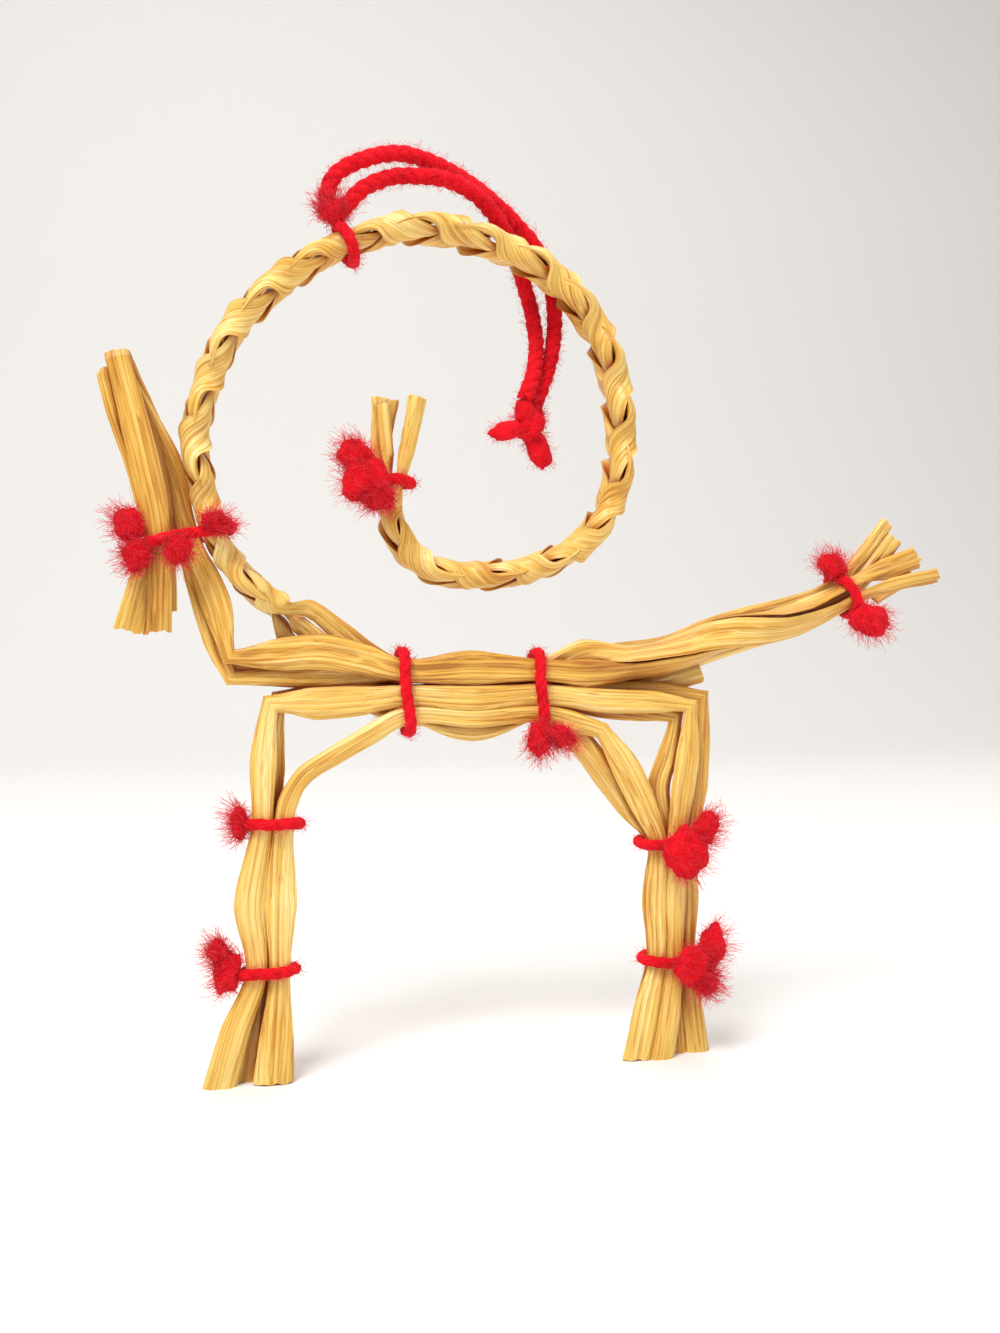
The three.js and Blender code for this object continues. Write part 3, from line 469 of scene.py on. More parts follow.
# straws: the CAD's six-cornered rings read back, then laid out finely
straw = {
    "around": 32,        # points round a straw
    "step": 0.45,        # mm between rings
    "wall": 0.16,        # mm, thickness of a straw's wall at a cut end
    "hollow": 3.2,       # mm, how deep a cut end is open
    "crumple": 0.06,     # mm, how far the flattened faces swell and dip
    "edge": 0.05,        # mm, waviness of the flattened edges
    "pressed": 0.95,     # thickness against the CAD's
    "sharp": 24,         # degrees, edges sharper than this are creases
    "foldTurn": 33,      # degrees, a straw turning more than this in one go is folded
    "pinchReach": 4.0,   # mm from a fold over which it's gathered narrow
    "gathered": 0.42,    # how much narrower it is at a fold
    "gatheredUpTo": 80,  # mm high; the folds on top of the head keep their width
    "spreadReach": 7.0,  # mm from a tie where it has opened out
    "tied": 1.12,        # width at a tie against the CAD's
    "tornReach": 2.5,    # mm from a torn end that the tatters run
    "spread": {          # width between ties against the CAD's, and a height range kept narrow
        "brace_straw_1": (1.4, (36, 46, 1.1)), "brace_straw_2": (1.4, (36, 46, 1.0)),
        "head_straw_1": (1.3, None), "head_straw_2": (1.3, None), "head_straw_3": (1.35, None),
    },
}


def solidRings(name):
    mesh = frame["nodes"][name].data
    spots, corners = {}, []
    for v in mesh.vertices:
        corners.append(spots.setdefault(tuple(round(c, 7) for c in v.co), len(spots)))
    places = np.array(list(spots)) / mm
    faces = [[corners[i] for i in p.vertices] for p in mesh.polygons]
    normals = [p.normal.copy() for p in mesh.polygons]
    near = {i: set() for i in range(len(places))}
    beside = {}
    for number, face in enumerate(faces):
        for a, b in zip(face, face[1:] + face[:1]):
            near[a].add(b)
            near[b].add(a)
            beside.setdefault(frozenset((a, b)), []).append(number)
    for number in range(len(faces)):
        patch, queue = {number}, [number]
        while queue and len(patch) < 6:
            face = faces[queue.pop()]
            for a, b in zip(face, face[1:] + face[:1]):
                for other in beside[frozenset((a, b))]:
                    if other not in patch and normals[other].dot(normals[number]) > 0.99999:
                        patch.add(other)
                        queue.append(other)
        cap = {v for n in patch for v in faces[n]}
        layers = walkRings(cap, near) if len(patch) == 4 and len(cap) == 6 else None
        if layers:
            return matchRings([ringOrder(layer, faces) for layer in layers], near, places)
    raise ValueError(name + " has no rings")


def walkRings(cap, near):
    layers, seen = [cap], set(cap)
    while True:
        layer = {b for a in layers[-1] for b in near[a]} - seen
        if not layer:
            return layers if len(seen) == len(near) else None
        if len(layer) != 6:
            return None
        layers.append(layer)
        seen |= layer


def ringOrder(layer, faces):
    beside = {v: set() for v in layer}
    for face in faces:
        pair = [v for v in face if v in layer]
        if len(pair) == 2:
            beside[pair[0]].add(pair[1])
            beside[pair[1]].add(pair[0])
    order = [min(layer)]
    while len(order) < 6:
        order.append(min(v for v in beside[order[-1]] if v not in order))
    return order


def matchRings(orders, near, places):
    rings = [orders[0]]
    for order in orders[1:]:
        choices = [way[n:] + way[:n] for way in (order, order[::-1]) for n in range(6)]
        choices = [c for c in choices if all(b in near[a] for a, b in zip(rings[-1], c))] or choices
        rings.append(min(choices, key=lambda c: sum(np.linalg.norm(places[a] - places[b])
                                                    for a, b in zip(rings[-1], c))))
    rings = np.array([[places[v] for v in ring] for ring in rings])
    if rings[0, :, 2].mean() > rings[-1, :, 2].mean():  # a horn straw's tip is its higher end
        rings = rings[::-1]
    widths = [np.linalg.norm(rings[:, k] - rings[:, k + 3], axis=1).sum() for k in range(3)]
    return np.roll(rings, -int(np.argmax(widths)), axis=1)


def waves(seed, s, longest, count=5):  # smooth irregular swings along a length, about -1 to 1
    chance = np.random.default_rng(seed)
    out = np.zeros_like(np.asarray(s, float))
    for n in range(count):
        wave = longest / (1.7 ** n) * chance.uniform(0.8, 1.25)
        out = out + np.sin(2 * np.pi * (s / wave + chance.uniform())) / (1.35 ** n)
    return out / 1.9


def creased(centre):  # rings where a straw is folded over sharply
    way = unit(np.diff(centre, axis=0))
    turns = np.degrees(np.arccos(np.clip((way[1:] * way[:-1]).sum(axis=1), -1, 1)))
    return {i + 1 for i, turn in enumerate(turns) if turn > straw["foldTurn"]}


def layOut(centre, width, depth):  # centre, width and depth arrows, finely stepped
    folds = creased(centre)
    rows, foldRows = [], []
    for i in range(len(centre) - 1):
        if i in folds:
            foldRows.append(len(rows))
        b, c = centre[i], centre[i + 1]
        a = centre[i - 1] if i and i not in folds else 2 * b - c
        d = centre[i + 2] if i + 2 < len(centre) and i + 1 not in folds else 2 * c - b
        parts = max(1, round(np.linalg.norm(c - b) / straw["step"]))
        for n in range(parts + (i == len(centre) - 2)):
            share = n / parts
            rows.append((catmull(a, b, c, d, share), width[i] * (1 - share) + width[i + 1] * share,
                         depth[i] * (1 - share) + depth[i + 1] * share))
    out = [np.array(part) for part in zip(*rows)]
    along = distances(out[0])
    pinch = np.zeros(len(along))
    for row in foldRows:
        if out[0][row, 2] < straw["gatheredUpTo"]:
            pinch = np.maximum(pinch, np.exp(-((along - along[row]) / straw["pinchReach"]) ** 2))
    return out + [pinch]


def spreadOf(node, centre):  # a straw is pressed narrow in a tie and spreads out between ties
    out = np.full(len(centre), 99.0)
    for setup in tieSetups.values():
        middle = np.array([setup["at"][0], 0, setup["at"][1]])
        gap = np.linalg.norm((centre - middle) * [1, 0, 1], axis=1)
        out = np.minimum(out, gap)
    ease = np.clip((out - 1.5) / straw["spreadReach"], 0, 1)
    ease = ease * ease * (3 - 2 * ease)
    wide, zone = straw["spread"].get(node, (1.3, None))
    factor = straw["tied"] + (wide - straw["tied"]) * ease
    if zone:  # this part of the straw stays rolled narrow
        low, high, narrow = zone
        inZone = np.clip(np.minimum(centre[:, 2] - low, high - centre[:, 2]) / 2, 0, 1)
        inZone = inZone * (centre[:, 0] < -20)
        factor = factor * (1 - inZone) + narrow * inZone
    return factor


def ridged(seed, s):  # where the lengthwise creases run across a pressed straw, and how high they stand
    chance = np.random.default_rng(seed)
    place = [base + 0.04 * waves(seed + n, s, 45, 3) for n, base in enumerate((0.27, 0.02, -0.26))]
    height = [np.clip(h + 0.22 * waves(seed + 5 + n, s, 22, 3), 0.3, 1.12)
              for n, h in enumerate(chance.uniform((0.75, 0.45, 0.7), (1.0, 1.0, 1.0)))]
    return place, height


def strawSection(s, flat, seed):  # across and up of each point round every ring, in halves of width and depth
    count = straw["around"] // 8  # points between creases, four gaps to a face
    rows = []
    for way, start in ((1, seed), (-1, seed + 31)):
        place, height = ridged(start, s)
        marks = [np.full_like(s, 0.5)] + place + [np.full_like(s, -0.5)]
        tops = [np.zeros_like(s)] + height + [np.zeros_like(s)]
        for n in range(4):
            for share in np.arange(count) / count:
                across = marks[n] * (1 - share) + marks[n + 1] * share
                top = tops[n] * (1 - share) + tops[n + 1] * share
                rounded = np.sqrt(np.clip(1 - (2 * across) ** 2, 0, 1))
                up = 0.5 * (top * flat + rounded * (1 - flat) + 0.1 * flat * math.sin(math.pi * share))
                rows.append((way * across, way * up))
    return [np.stack(part, axis=1) for part in zip(*rows)]


def strawMesh(node, layout, seed, ragged=(0, 0), curl=None):
    centre, width, depth, pinch = layout
    along = distances(centre)
    width = width * (1 - straw["gathered"] * pinch)[:, None]
    wide = np.linalg.norm(width, axis=1)[:, None]
    deep = np.linalg.norm(depth, axis=1)[:, None]
    flat = np.clip(1.6 * (1 - deep / wide), 0, 1)
    across, up = strawSection(along, flat[:, 0], seed)
    s = along[:, None] * np.ones_like(across)
    side = up / np.maximum(np.abs(up).max(axis=1), 1e-6)[:, None]
    up = up + straw["crumple"] / deep * side * waves(seed + 2, s * 0.3 + across * wide * 2.2, 3)
    across = across * (1 + straw["edge"] / wide * waves(seed, s, 9))
    bow = np.zeros_like(wide) if curl is None else curl[:, None]
    tangent = unit(np.gradient(centre, axis=0))

    def place(i, inset):  # one ring of points, drawn in by the wall
        a = across[i] * max(0.3, 1 - 2 * inset / wide[i, 0])
        b = up[i] * max(0.3, 1 - 2 * inset / deep[i, 0])
        ring = centre[i] + a[:, None] * width[i] + b[:, None] * depth[i]
        ring = ring - (bow[i] * (a * wide[i, 0]) ** 2)[:, None] * depth[i] / deep[i, 0]
        for end, (tatter, reach) in enumerate(zip(ragged, (along[i], along[-1] - along[i]))):
            if tatter and reach < straw["tornReach"]:
                pull = tatter * (0.5 + 0.5 * waves(seed + 7 + end, a * wide[i, 0] * 1.4, 3.0))
                pull = pull * (1 - reach / straw["tornReach"])
                ring = ring + (pull * (1 - 2 * end))[:, None] * tangent[i]
        return ring

    rows, marks = [], []

    def addRow(i, inset, inside):
        rows.append(place(i, inset))
        marks.append(np.stack([across[i] * wide[i, 0], s[i], side[i] * 0.8,
                               np.full(across.shape[1], float(inside))], axis=1))

    last = len(centre) - 1
    # painted shade: the rings inside a cut end get a value that grows with depth into the hollow
    depths = [straw["hollow"] * k for k in (1, 0.6, 0.25, 0.08, 0)]
    inner = [min(int(np.searchsorted(along, d)), last // 3) for d in depths]
    for i, d in zip(inner, depths):
        addRow(i, straw["wall"], d / straw["hollow"] + 0.1)
    for i in range(last + 1):
        addRow(i, 0, 0)
    for i, d in zip(inner[::-1], depths[::-1]):
        addRow(last - i, straw["wall"], d / straw["hollow"] + 0.1)
    points = np.concatenate(rows)
    marks = np.concatenate(marks)
    around = across.shape[1]
    faces = [(r * around + k, r * around + (k + 1) % around, (r + 1) * around + (k + 1) % around,
              (r + 1) * around + k) for r in range(len(rows) - 1) for k in range(around)]
    ends = [list(range(around))[::-1], [(len(rows) - 1) * around + k for k in range(around)]]
    mesh = bpy.data.meshes.new(node)
    mesh.from_pydata((points * mm).tolist(), [], faces + ends)
    a, b, c = (points[[f[n] for f in faces]] for n in range(3))
    if np.einsum("ij,ij->i", a, np.cross(b, c)).sum() < 0:
        mesh.flip_normals()
    mesh.attributes.new("strawPlace", "FLOAT_VECTOR", "POINT").data.foreach_set("vector", marks[:, :3].ravel())
    mesh.attributes.new("inside", "FLOAT", "POINT").data.foreach_set("value", marks[:, 3].copy())
    tint = np.random.default_rng(seed + 50).uniform()
    mesh.attributes.new("tint", "FLOAT", "POINT").data.foreach_set("value", np.full(len(points), tint))
    mesh.shade_smooth()
    mesh.set_sharp_from_angle(angle=math.radians(straw["sharp"]))
    return mesh


# the plait, laid out afresh along the middle of the CAD's three horn straws
plait = {
    "rings": 85,          # CAD rings of each horn straw that are in the plait; two more make its tip
    "period": 24.0,       # mm, as in the CAD
    "phases": (120, 0, 240),
    "deep": 2.1,          # mm, swing towards the front and the back
    "wide": 1.0,          # mm, swing across
    "width": 4.55,        # mm, straw's width in the plait
    "thick": 1.5,
    "lag": 16,            # degrees, lets each straw lie over the tail of the one before
    "flatness": 1.9,      # how straight it runs between folds
    "turn": 1.7,          # how sudden its folds are
    "bow": 0.09,          # how far it bends round the plait
    "steps": 5,           # fine rings to a CAD ring
    "settle": (1, 6),     # mm from the root where it starts to leave the CAD's own rings, and over which
    "release": 4,         # mm over which it comes back to them at the tip
    "rootRows": 12,       # fine rings over which a spread straw narrows into the plait
    "tiedAt": ((-43.6, 70.6), (-26.7, 108.7), (-20.7, 77.7)),
    "pinch": 0.25,        # how much a tie squeezes it
    "pinchReach": 4.5,
    "tipSpread": 1.25,
}


def arrows(rings):
    return (rings.mean(axis=1), rings[:, 0] - rings[:, 3],
            (rings[:, 1] + rings[:, 2] - rings[:, 4] - rings[:, 5]) / 2)


def plaitLayout(allRings, number):
    own = [part[-2 - plait["rings"]:-2] for part in arrows(allRings[number])]
    middle = sum(r[-2 - plait["rings"]:-2].mean(axis=1) for r in allRings) / 3
    index = np.linspace(0, plait["rings"] - 1, (plait["rings"] - 1) * plait["steps"] + 1)
    line = smoothLine(list(middle), 0.2)
    at = index / index[-1] * (len(line) - 1)
    axis = sampled(at, np.arange(len(line)), line)
    own = [sampled(index, np.arange(plait["rings"]), part) for part in own]
    length = index / index[-1] * lengthOf(line)
    along = unit(np.gradient(axis, axis=0))
    outer = np.stack([-along[:, 2], 0 * along[:, 0], along[:, 0]], axis=1)
    near = np.array([[0.0, -1.0, 0.0]])
    squeeze = np.ones_like(length)
    for x, z in plait["tiedAt"]:
        gap = np.linalg.norm(axis - np.array([x, axis[0, 1], z]), axis=1).argmin()
        squeeze -= plait["pinch"] * np.exp(-(((length - length[gap]) / plait["pinchReach"]) ** 2))
    t = 2 * np.pi * length / plait["period"] + math.radians(plait["phases"][number])
    swing = np.tanh(plait["flatness"] * np.sin(t + math.radians(plait["lag"]))) / math.tanh(plait["flatness"])
    turn = math.pi / 2 * np.tanh(plait["turn"] * np.cos(t)) / math.tanh(plait["turn"])
    jitter = 1 + 0.07 * waves(300 + number, length, 16, 3)
    centre = axis + outer * (plait["wide"] * squeeze * np.sin(2 * t))[:, None] + near * (
        plait["deep"] * squeeze * swing * jitter)[:, None]
    flat = -near * np.cos(turn)[:, None] - outer * np.sin(turn)[:, None]
    tangent = unit(np.gradient(centre, axis=0))
    width = unit(np.cross(tangent, flat))
    depth = np.cross(width, tangent)
    width = width * (plait["width"] * squeeze * (1 + 0.08 * waves(310 + number, length, 13, 3)))[:, None]
    depth = depth * plait["thick"]
    width = width * np.sign((width * own[1]).sum())
    depth = depth * np.sign((depth * own[2]).sum())
    ease = np.clip((length - plait["settle"][0]) / plait["settle"][1], 0, 1)
    ease = np.minimum(ease, np.clip((length[-1] - length) / plait["release"], 0, 1))
    ease = (ease * ease * (3 - 2 * ease))[:, None]
    centre, width, depth = (a * (1 - ease) + b * ease for a, b in zip(own, (centre, width, depth)))
    facing = (depth * (centre - axis)).sum(axis=1) / np.linalg.norm(depth, axis=1)
    bow = plait["bow"] * np.tanh(1.2 * facing) * ease[:, 0]
    return centre, width, depth, np.zeros(len(centre)), bow


def strawLayout(node, allRings):
    rings = allRings[node]
    if node not in hornNodes:
        centre, width, depth, pinch = layOut(*arrows(rings))
        wide = spreadOf(node, centre)[:, None]
        return (centre, width * wide, depth * straw["pressed"], pinch), None
    start = len(rings) - 2 - plait["rings"]
    root = layOut(*arrows(rings[:start + 1]))
    root[1] = root[1] * spreadOf(node, root[0])[:, None]
    last = plait["rootRows"]
    root[1][-last:] = root[1][-last:] * np.linspace(1, 1 / spreadOf(node, root[0][-1:])[0], last)[:, None]
    knit = plaitLayout([allRings[n] for n in hornNodes], hornNodes.index(node))
    tip = layOut(*arrows(rings[-3:]))
    tip[1] = tip[1] * np.linspace(1, plait["tipSpread"], len(tip[1]))[:, None]
    whole = [np.concatenate([a[:-1], b, c[1:]]) for a, b, c in zip(root, knit[:4], tip)]
    curl = np.concatenate([np.zeros(len(root[0]) - 1), knit[4], np.zeros(len(tip[0]) - 1)])
    return tuple(whole), curl


# straw: dried and waxy with a soft gloss, finely ribbed along its length, with painted amber shade where it
# folds and in the gaps, and painted dark shade deep in its cut ends
strawLook = {
    "palest": "#f2dc94",
    "pale": "#e6bf62",
    "gold": "#d49f3a",
    "amber": "#a9691b",
    "ribShade": "#c08a3c",
    "foldShade": "#c67a24",
    # painted shade deep in the hollow of a cut end
    "inside": "#5c3209",
    "ribs": (6.5, 0.02, 1.0),      # features a mm across and along, and detail; real ribs are finer,
    "lines": (2.6, 0.012, 3.0),    # too fine to show in a render
    "clouds": (0.3, 0.06, 3.0),
    "ribRelief": 0.06,             # mm
    "lineRelief": 0.2,             # mm
}


def makeStraw(look):
    made = bpy.data.materials.new("driedStraw")
    made.use_nodes = True
    tree = made.node_tree
    tree.nodes.clear()
    place = addNode(tree, "ShaderNodeAttribute", attribute_name="strawPlace").outputs["Vector"]
    inside, tint, paintedCreviceShade = (addNode(tree, "ShaderNodeAttribute", attribute_name=name).outputs["Fac"]
                             for name in ("inside", "tint", "paintedCreviceShade"))
    own = addNode(tree, "ShaderNodeMath", {0: tint, 1: 37.0}, operation="MULTIPLY")
    apart = addNode(tree, "ShaderNodeCombineXYZ", {2: own})  # each straw has its own part of the pattern
    streaks = []
    for across, along, detail in (look["ribs"], look["lines"], look["clouds"]):
        drawn = addNode(tree, "ShaderNodeVectorMath", {0: place, 1: (across, along, across)},
                        operation="MULTIPLY")
        moved = addNode(tree, "ShaderNodeVectorMath", {0: drawn, 1: apart}, operation="ADD")
        streaks.append(addNode(tree, "ShaderNodeTexNoise", {
            "Vector": moved, "Scale": 1.0, "Detail": detail}).outputs["Fac"])
    ribs, lines, clouds = streaks
    parts = [addNode(tree, "ShaderNodeMath", {0: pattern, 1: part}, operation="MULTIPLY")
             for pattern, part in ((lines, 0.55), (clouds, 0.45))]
    tone = addNode(tree, "ShaderNodeMath", {0: parts[0], 1: parts[1]}, operation="ADD")
    own = addNode(tree, "ShaderNodeMath", {0: tint, 1: 0.5}, operation="SUBTRACT")
    own = addNode(tree, "ShaderNodeMath", {0: own, 1: 0.12}, operation="MULTIPLY")
    tone = addNode(tree, "ShaderNodeMath", {0: tone, 1: own}, operation="ADD")
    base = addNode(tree, "ShaderNodeValToRGB", {"Fac": tone}, stops=(
        (0.34, look["amber"]), (0.45, look["gold"]), (0.57, look["pale"]), (0.72, look["palest"])))
    fine = addNode(tree, "ShaderNodeValToRGB", {"Fac": ribs}, stops=((0.3, look["ribShade"]), (0.5, "#ffffff")))
    ribbed = addNode(tree, "ShaderNodeMix", {"Factor": 0.65, 6: base, 7: fine}, data_type="RGBA",
                     blend_type="MULTIPLY").outputs[2]
    # painted shade: the straw is multiplied toward amber where folds and other straws close it in
    withPaintedShade = addNode(tree, "ShaderNodeMix", {"Factor": paintedCreviceShade, 6: ribbed, 7: linear(look["foldShade"])},
                     data_type="RGBA", blend_type="MULTIPLY").outputs[2]
    # painted shade inside the cut ends, darker brown further into the hollow
    deep = addNode(tree, "ShaderNodeMath", {0: inside, 1: 1.1}, operation="MULTIPLY", use_clamp=True)
    colour = addNode(tree, "ShaderNodeMix", {"Factor": deep, 6: withPaintedShade, 7: linear(look["inside"])},
                     data_type="RGBA").outputs[2]
    bump = addNode(tree, "ShaderNodeBump", {
        "Strength": 0.5, "Distance": look["ribRelief"] * mm, "Height": ribs})
    bump = addNode(tree, "ShaderNodeBump", {
        "Strength": 0.5, "Distance": look["lineRelief"] * mm, "Height": lines, "Normal": bump})
    duller = addNode(tree, "ShaderNodeMath", {0: clouds, 1: 0.22}, operation="MULTIPLY")
    gloss = addNode(tree, "ShaderNodeMath", {0: 0.34, 1: duller}, operation="ADD")
    shader = addNode(tree, "ShaderNodeBsdfPrincipled", {
        "Base Color": colour, "Roughness": gloss, "Normal": bump, "Specular IOR Level": 0.45,
        "Subsurface Weight": 0.12, "Subsurface Radius": (1.0, 0.55, 0.2), "Subsurface Scale": 1.2 * mm,
        "Coat Weight": 0.12, "Coat Roughness": 0.3})
    addNode(tree, "ShaderNodeOutputMaterial", {"Surface": shader})
    return made


strawMaterial = makeStraw(strawLook)
strawEnds = {  # how torn the two ends of each straw are, mm
    "head_straw_1": (0.4, 0.8), "head_straw_2": (0.4, 0.8), "head_straw_3": (0.4, 0.8),
    "horn_straw_1": (0.3, 0.3), "horn_straw_2": (0.3, 0.3), "horn_straw_3": (0.3, 0.3),
    "leg_straw_1": (0, 0), "leg_straw_2": (0, 0), "leg_straw_3": (0, 0),
    "brace_straw_1": (0.3, 0.3), "brace_straw_2": (0.3, 0.3),
}
hornNodes = ["horn_straw_1", "horn_straw_2", "horn_straw_3"]
strawRings = {node: solidRings(node) for node in strawEnds}
strawPieces = {}
for number, (node, ragged) in enumerate(strawEnds.items()):
    layout, curl = strawLayout(node, strawRings)
    piece = meshObject(node + "_skin", strawMesh(node, layout, 100 + number * 11, ragged, curl))
    piece.data.materials.append(strawMaterial)
    strawPieces[node] = finishPiece(piece, node)
print("straws laid out,", sum(len(p.data.polygons) for p in strawPieces.values()), "faces")


# how closed in each spot of a straw is, for the painted amber shade in its folds and gaps
paintedCreviceShade = {
    "rays": 20,
    "reach": 5.0,        # mm
    "lift": 0.15,        # mm off the surface, where the rays start
    "spread": 1.05,      # how far the rays keep to the side that the surface faces
    "strength": 1.35,
}


def vertexRows(mesh, what="co"):  # a row of three for each vertex
    out = np.empty(len(mesh.vertices) * 3)
    mesh.vertices.foreach_get(what, out)
    return out.reshape(-1, 3)


# bakes the mask for the painted shade: rays from each vertex, with more and nearer hits giving more shade
def shadeCrevices(pieces):
    points, faces, start = [], [], 0
    for piece in pieces:
        points.append(vertexRows(piece.data))
        faces += [tuple(v + start for v in p.vertices) for p in piece.data.polygons]
        start += len(points[-1])
    tree = BVHTree.FromPolygons(np.concatenate(points).tolist(), faces)
    spread = unit(np.random.default_rng(4).normal(size=(paintedCreviceShade["rays"], 3)))
    reach = paintedCreviceShade["reach"] * mm
    for piece in pieces:
        shade = []
        for v, n in zip(piece.data.vertices, vertexRows(piece.data, "normal")):
            origin = v.co + Vector(n) * (paintedCreviceShade["lift"] * mm)
            hits = [tree.ray_cast(origin, Vector(ray + n * paintedCreviceShade["spread"]), reach)[3] for ray in spread]
            met = sum(1 - hit / reach for hit in hits if hit is not None)
            shade.append(min(1.0, met / paintedCreviceShade["rays"] * paintedCreviceShade["strength"]))
        # the painted shade's mask, one value a vertex
        piece.data.attributes.new("paintedCreviceShade", "FLOAT", "POINT").data.foreach_set("value", shade)


shadeCrevices(list(strawPieces.values()))
print("crevices shaded")

band = {
    "slice": 0.9,           # mm each way along the bundle that the yarn goes round
    "depth": 6,             # mm each way in Y
    "sink": 0.86,           # of its radius, how far its middle lies off the straws
    "corners": 16,
    "step": 0.5,            # mm
    "sway": (0.25, 0.12),   # mm that it wanders along the bundle, once and three times in a turn
}


def hull(points):  # convex outline of points in a plane, in order
    points = sorted(map(tuple, points))
    out = []
    for way in (points, points[::-1]):
        part = []
        for p in way:
            while len(part) > 1 and ((part[-1][0] - part[-2][0]) * (p[1] - part[-2][1])
                                     - (part[-1][1] - part[-2][1]) * (p[0] - part[-2][0])) <= 0:
                part.pop()
            part.append(p)
        out += part[:-1]
    return np.array(out)


def bandLine(setup, seed):  # closed route of the yarn round the straws, mm
    lean = math.radians(setup["lean"])
    middle = np.array([setup["at"][0], 0, setup["at"][1]])
    along = np.array([math.cos(lean), 0, math.sin(lean)])
    over = np.array([-math.sin(lean), 0, math.cos(lean)])
    found = []
    for piece in strawPieces.values():
        local = vertexRows(piece.data) / mm - middle
        keep = (abs(local @ along) < band["slice"]) & (abs(local @ over) < setup["reach"])
        keep = keep & (abs(local[:, 1]) < band["depth"])
        found.append(np.stack([(local @ over)[keep], local[keep, 1]], axis=1))
    outline = hull(np.concatenate(found))
    turn = 2 * np.pi * np.arange(band["corners"]) / band["corners"]
    circle = yarn["tieDiameter"] / 2 * band["sink"] * np.stack([np.cos(turn), np.sin(turn)], axis=1)
    outline = hull((outline[:, None] + circle[None]).reshape(-1, 2))
    ring = evenly(np.stack([outline[:, 0], outline[:, 1], np.zeros(len(outline))], axis=1), band["step"], True)
    for _ in range(2):
        ring = (np.roll(ring, 1, axis=0) + 2 * ring + np.roll(ring, -1, axis=0)) / 4
    turn = 2 * np.pi * np.arange(len(ring)) / len(ring)
    once, thrice = band["sway"]
    sway = once * np.sin(turn + seed) + thrice * np.sin(3 * turn + seed * 2)
    return middle + ring[:, :1] * over + ring[:, 1:2] * [0, 1, 0] + sway[:, None] * along


def lumpMesh(tuft, seed, fullness=0.85):  # the dense middle of a tuft
    x, y, z, rx, ry, rz, tilt = tuft
    ball = bmesh.new()
    bmesh.ops.create_icosphere(ball, subdivisions=3, radius=1)
    turned = Matrix.Rotation(math.radians(tilt), 4, "Y")
    for v in ball.verts:
        p = np.array(v.co)
        swell = fullness + 0.13 * math.sin(5 * p[0] + seed) * math.sin(4 * p[2] + seed * 2) + 0.08 * math.sin(
            11 * p[1] + 7 * p[0] + seed)
        v.co = turned @ Vector((p[0] * rx * swell, p[1] * ry * swell, p[2] * rz * swell)) + Vector((x, y, z))
        v.co *= mm
    mesh = bpy.data.meshes.new("lump")
    ball.to_mesh(mesh)
    ball.free()
    mesh.shade_smooth()
    mesh.materials.append(wool)
    return mesh


tuftWool = {  # count is the fibres in a tuft
    "short": {"count": 520, "draw": 7, "length": 0.95, "radius": 0.03, "bend": 1.2, "stand": 0.45, "wild": 1.0},
    "long": {"count": 330, "draw": 9, "length": 2.1, "radius": 0.021, "bend": 0.7, "stand": 0.25, "wild": 0.6,
             "fan": 1.0},
}


def eggArea(a, b, c):  # near enough the surface of an egg shape with these radii
    return 12.6 * sum((p * q) ** 1.6 / 3 for p, q in ((a, b), (a, c), (b, c))) ** (1 / 1.6)


def tieParts(setup, seed):
    loop = yarnMesh(bandLine(setup, seed), yarn["tieDiameter"], closed=True)
    parts = [loop, fibreMesh(loop.copy(), seed, density=2.6e6)]
    root = (setup["at"][0], 0, setup["at"][1])
    for number, tuft in enumerate(setup["tufts"]):
        lump = lumpMesh(tuft, seed + number)
        parts.append(lump)
        for look in tuftWool.values():
            parts.append(fibreMesh(lump.copy(), seed * look["draw"] + number, root,
                                   **{**look, "density": look["count"] / eggArea(*tuft[3:6]) * 1e6}))
    return parts


for number, (node, setup) in enumerate(tieSetups.items()):
    piece = joined(node + "_wool", tieParts(setup, 20 + number))
    finishPiece(piece, node)
    print(node, len(piece.data.polygons), "faces")

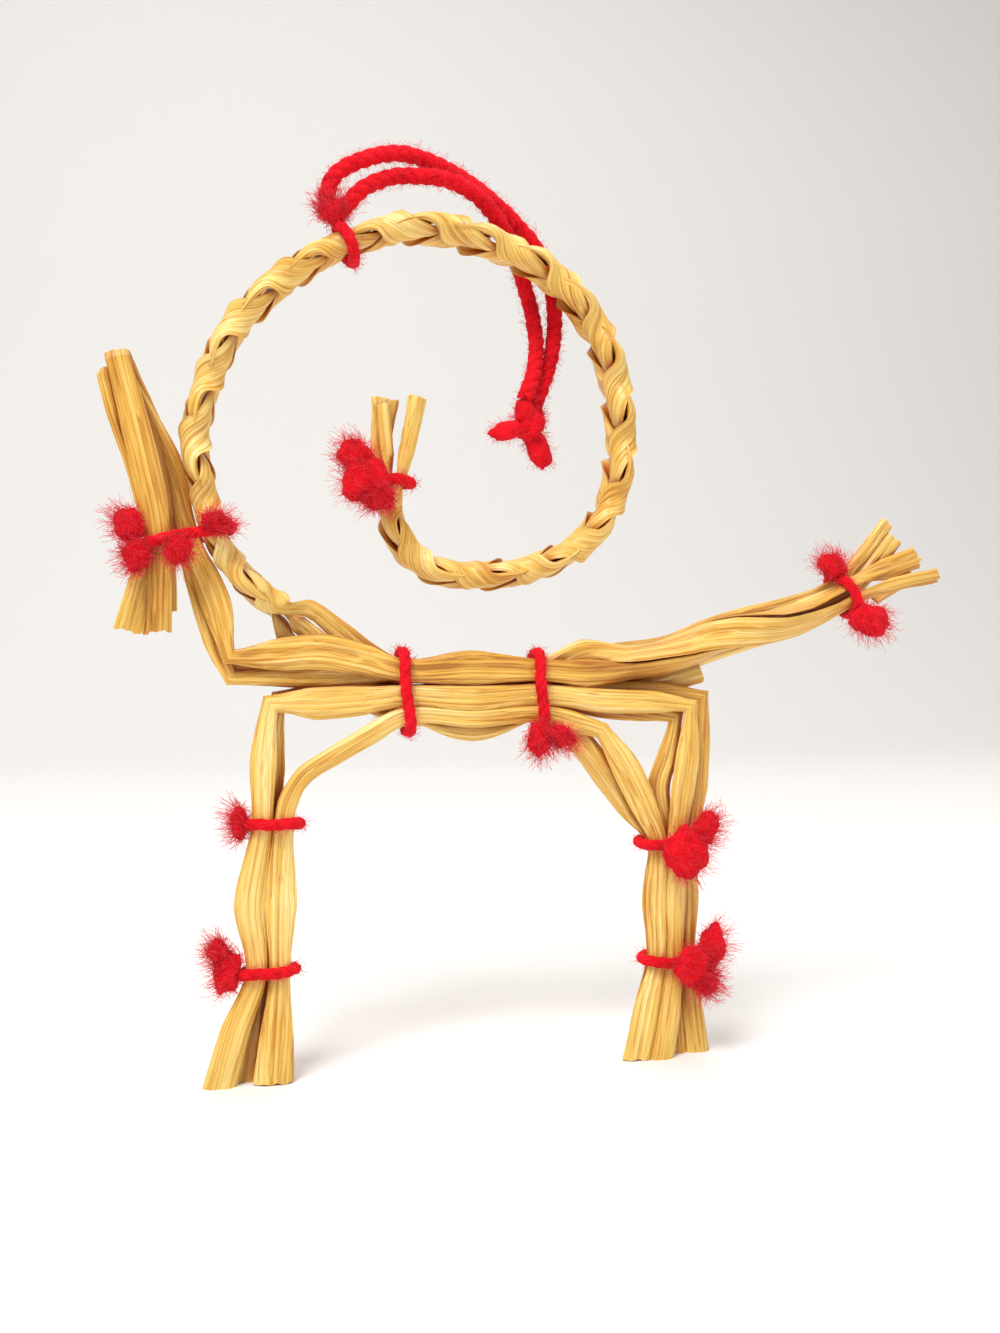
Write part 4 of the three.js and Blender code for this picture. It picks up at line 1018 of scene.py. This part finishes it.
# the knot: its body, the ends of the two strands, and the two cut ends
knotLumps = [
    (-1.3, 3.3, 86.5, 2.0, 2.0, 2.3, 0), (-0.3, 4.4, 88.2, 1.3, 1.3, 1.7, 0),
    (-2.2, 2.3, 88.2, 1.3, 1.3, 1.7, 0), (-4.4, 2.6, 85.6, 2.5, 1.25, 1.25, -18),
    (0.2, 3.6, 83.2, 1.5, 1.4, 2.6, -25),
]
knotParts = []
for number, lump in enumerate(knotLumps):
    body = lumpMesh(lump, 60 + number, 1.02)
    knotParts += [body, fibreMesh(body.copy(), 80 + number, density=6e6, length=1.2, bend=0.6)]
knot = finishPiece(joined("hangerKnot", knotParts), "hanger_knot")


# studio: pale sweep and soft lights
studio = {
    "paper": "#ece9e6",
    "air": "#f2f1ef",
    "airStrength": 0.4,
    "lights": {  # place in m, size in m, power in W
        "key": ((-0.35, -0.45, 0.75), 0.4, 8.0),
        "fill": ((0.7, -0.5, 0.4), 0.8, 2.5),
        "top": ((0.1, 0.2, 0.9), 0.7, 3.5),
    },
}


def makeSweep(halfWidth=1.6, front=-0.9, back=0.5, bend=0.4, top=1.6):  # m
    side = [(front, 0.0), (back, 0.0)]
    side += [(back + bend * math.sin(a), bend - bend * math.cos(a))
             for a in np.linspace(0, math.pi / 2, 17)[1:]]
    side.append((back + bend, top))
    mesh = bpy.data.meshes.new("sweep")
    mesh.from_pydata([(x, y, z) for y, z in side for x in (-halfWidth, halfWidth)], [],
                     [(2 * i, 2 * i + 1, 2 * i + 3, 2 * i + 2) for i in range(len(side) - 1)])
    mesh.shade_smooth()
    paper = bpy.data.materials.new("palePaper")
    paper.use_nodes = True
    inputs = paper.node_tree.nodes["Principled BSDF"].inputs
    inputs["Base Color"].default_value = linear(studio["paper"])
    inputs["Roughness"].default_value = 0.85
    mesh.materials.append(paper)
    meshObject("sweep", mesh)


def makeLights():
    world = bpy.data.worlds.new("studio")
    world.use_nodes = True
    inputs = world.node_tree.nodes["Background"].inputs
    inputs["Color"].default_value = linear(studio["air"])
    inputs["Strength"].default_value = studio["airStrength"]
    bpy.context.scene.world = world
    for name, (spot, size, power) in studio["lights"].items():
        light = bpy.data.lights.new(name, "AREA")
        light.size = size
        light.energy = power
        lamp = bpy.data.objects.new(name, light)
        lamp.location = spot
        lamp.rotation_euler = (Vector((0, 0, 0.05)) - Vector(spot)).to_track_quat("-Z", "Y").to_euler()
        bpy.context.scene.collection.objects.link(lamp)


makeSweep()
makeLights()
print("studio set")
bpy.context.scene.view_settings.view_transform = "Standard"
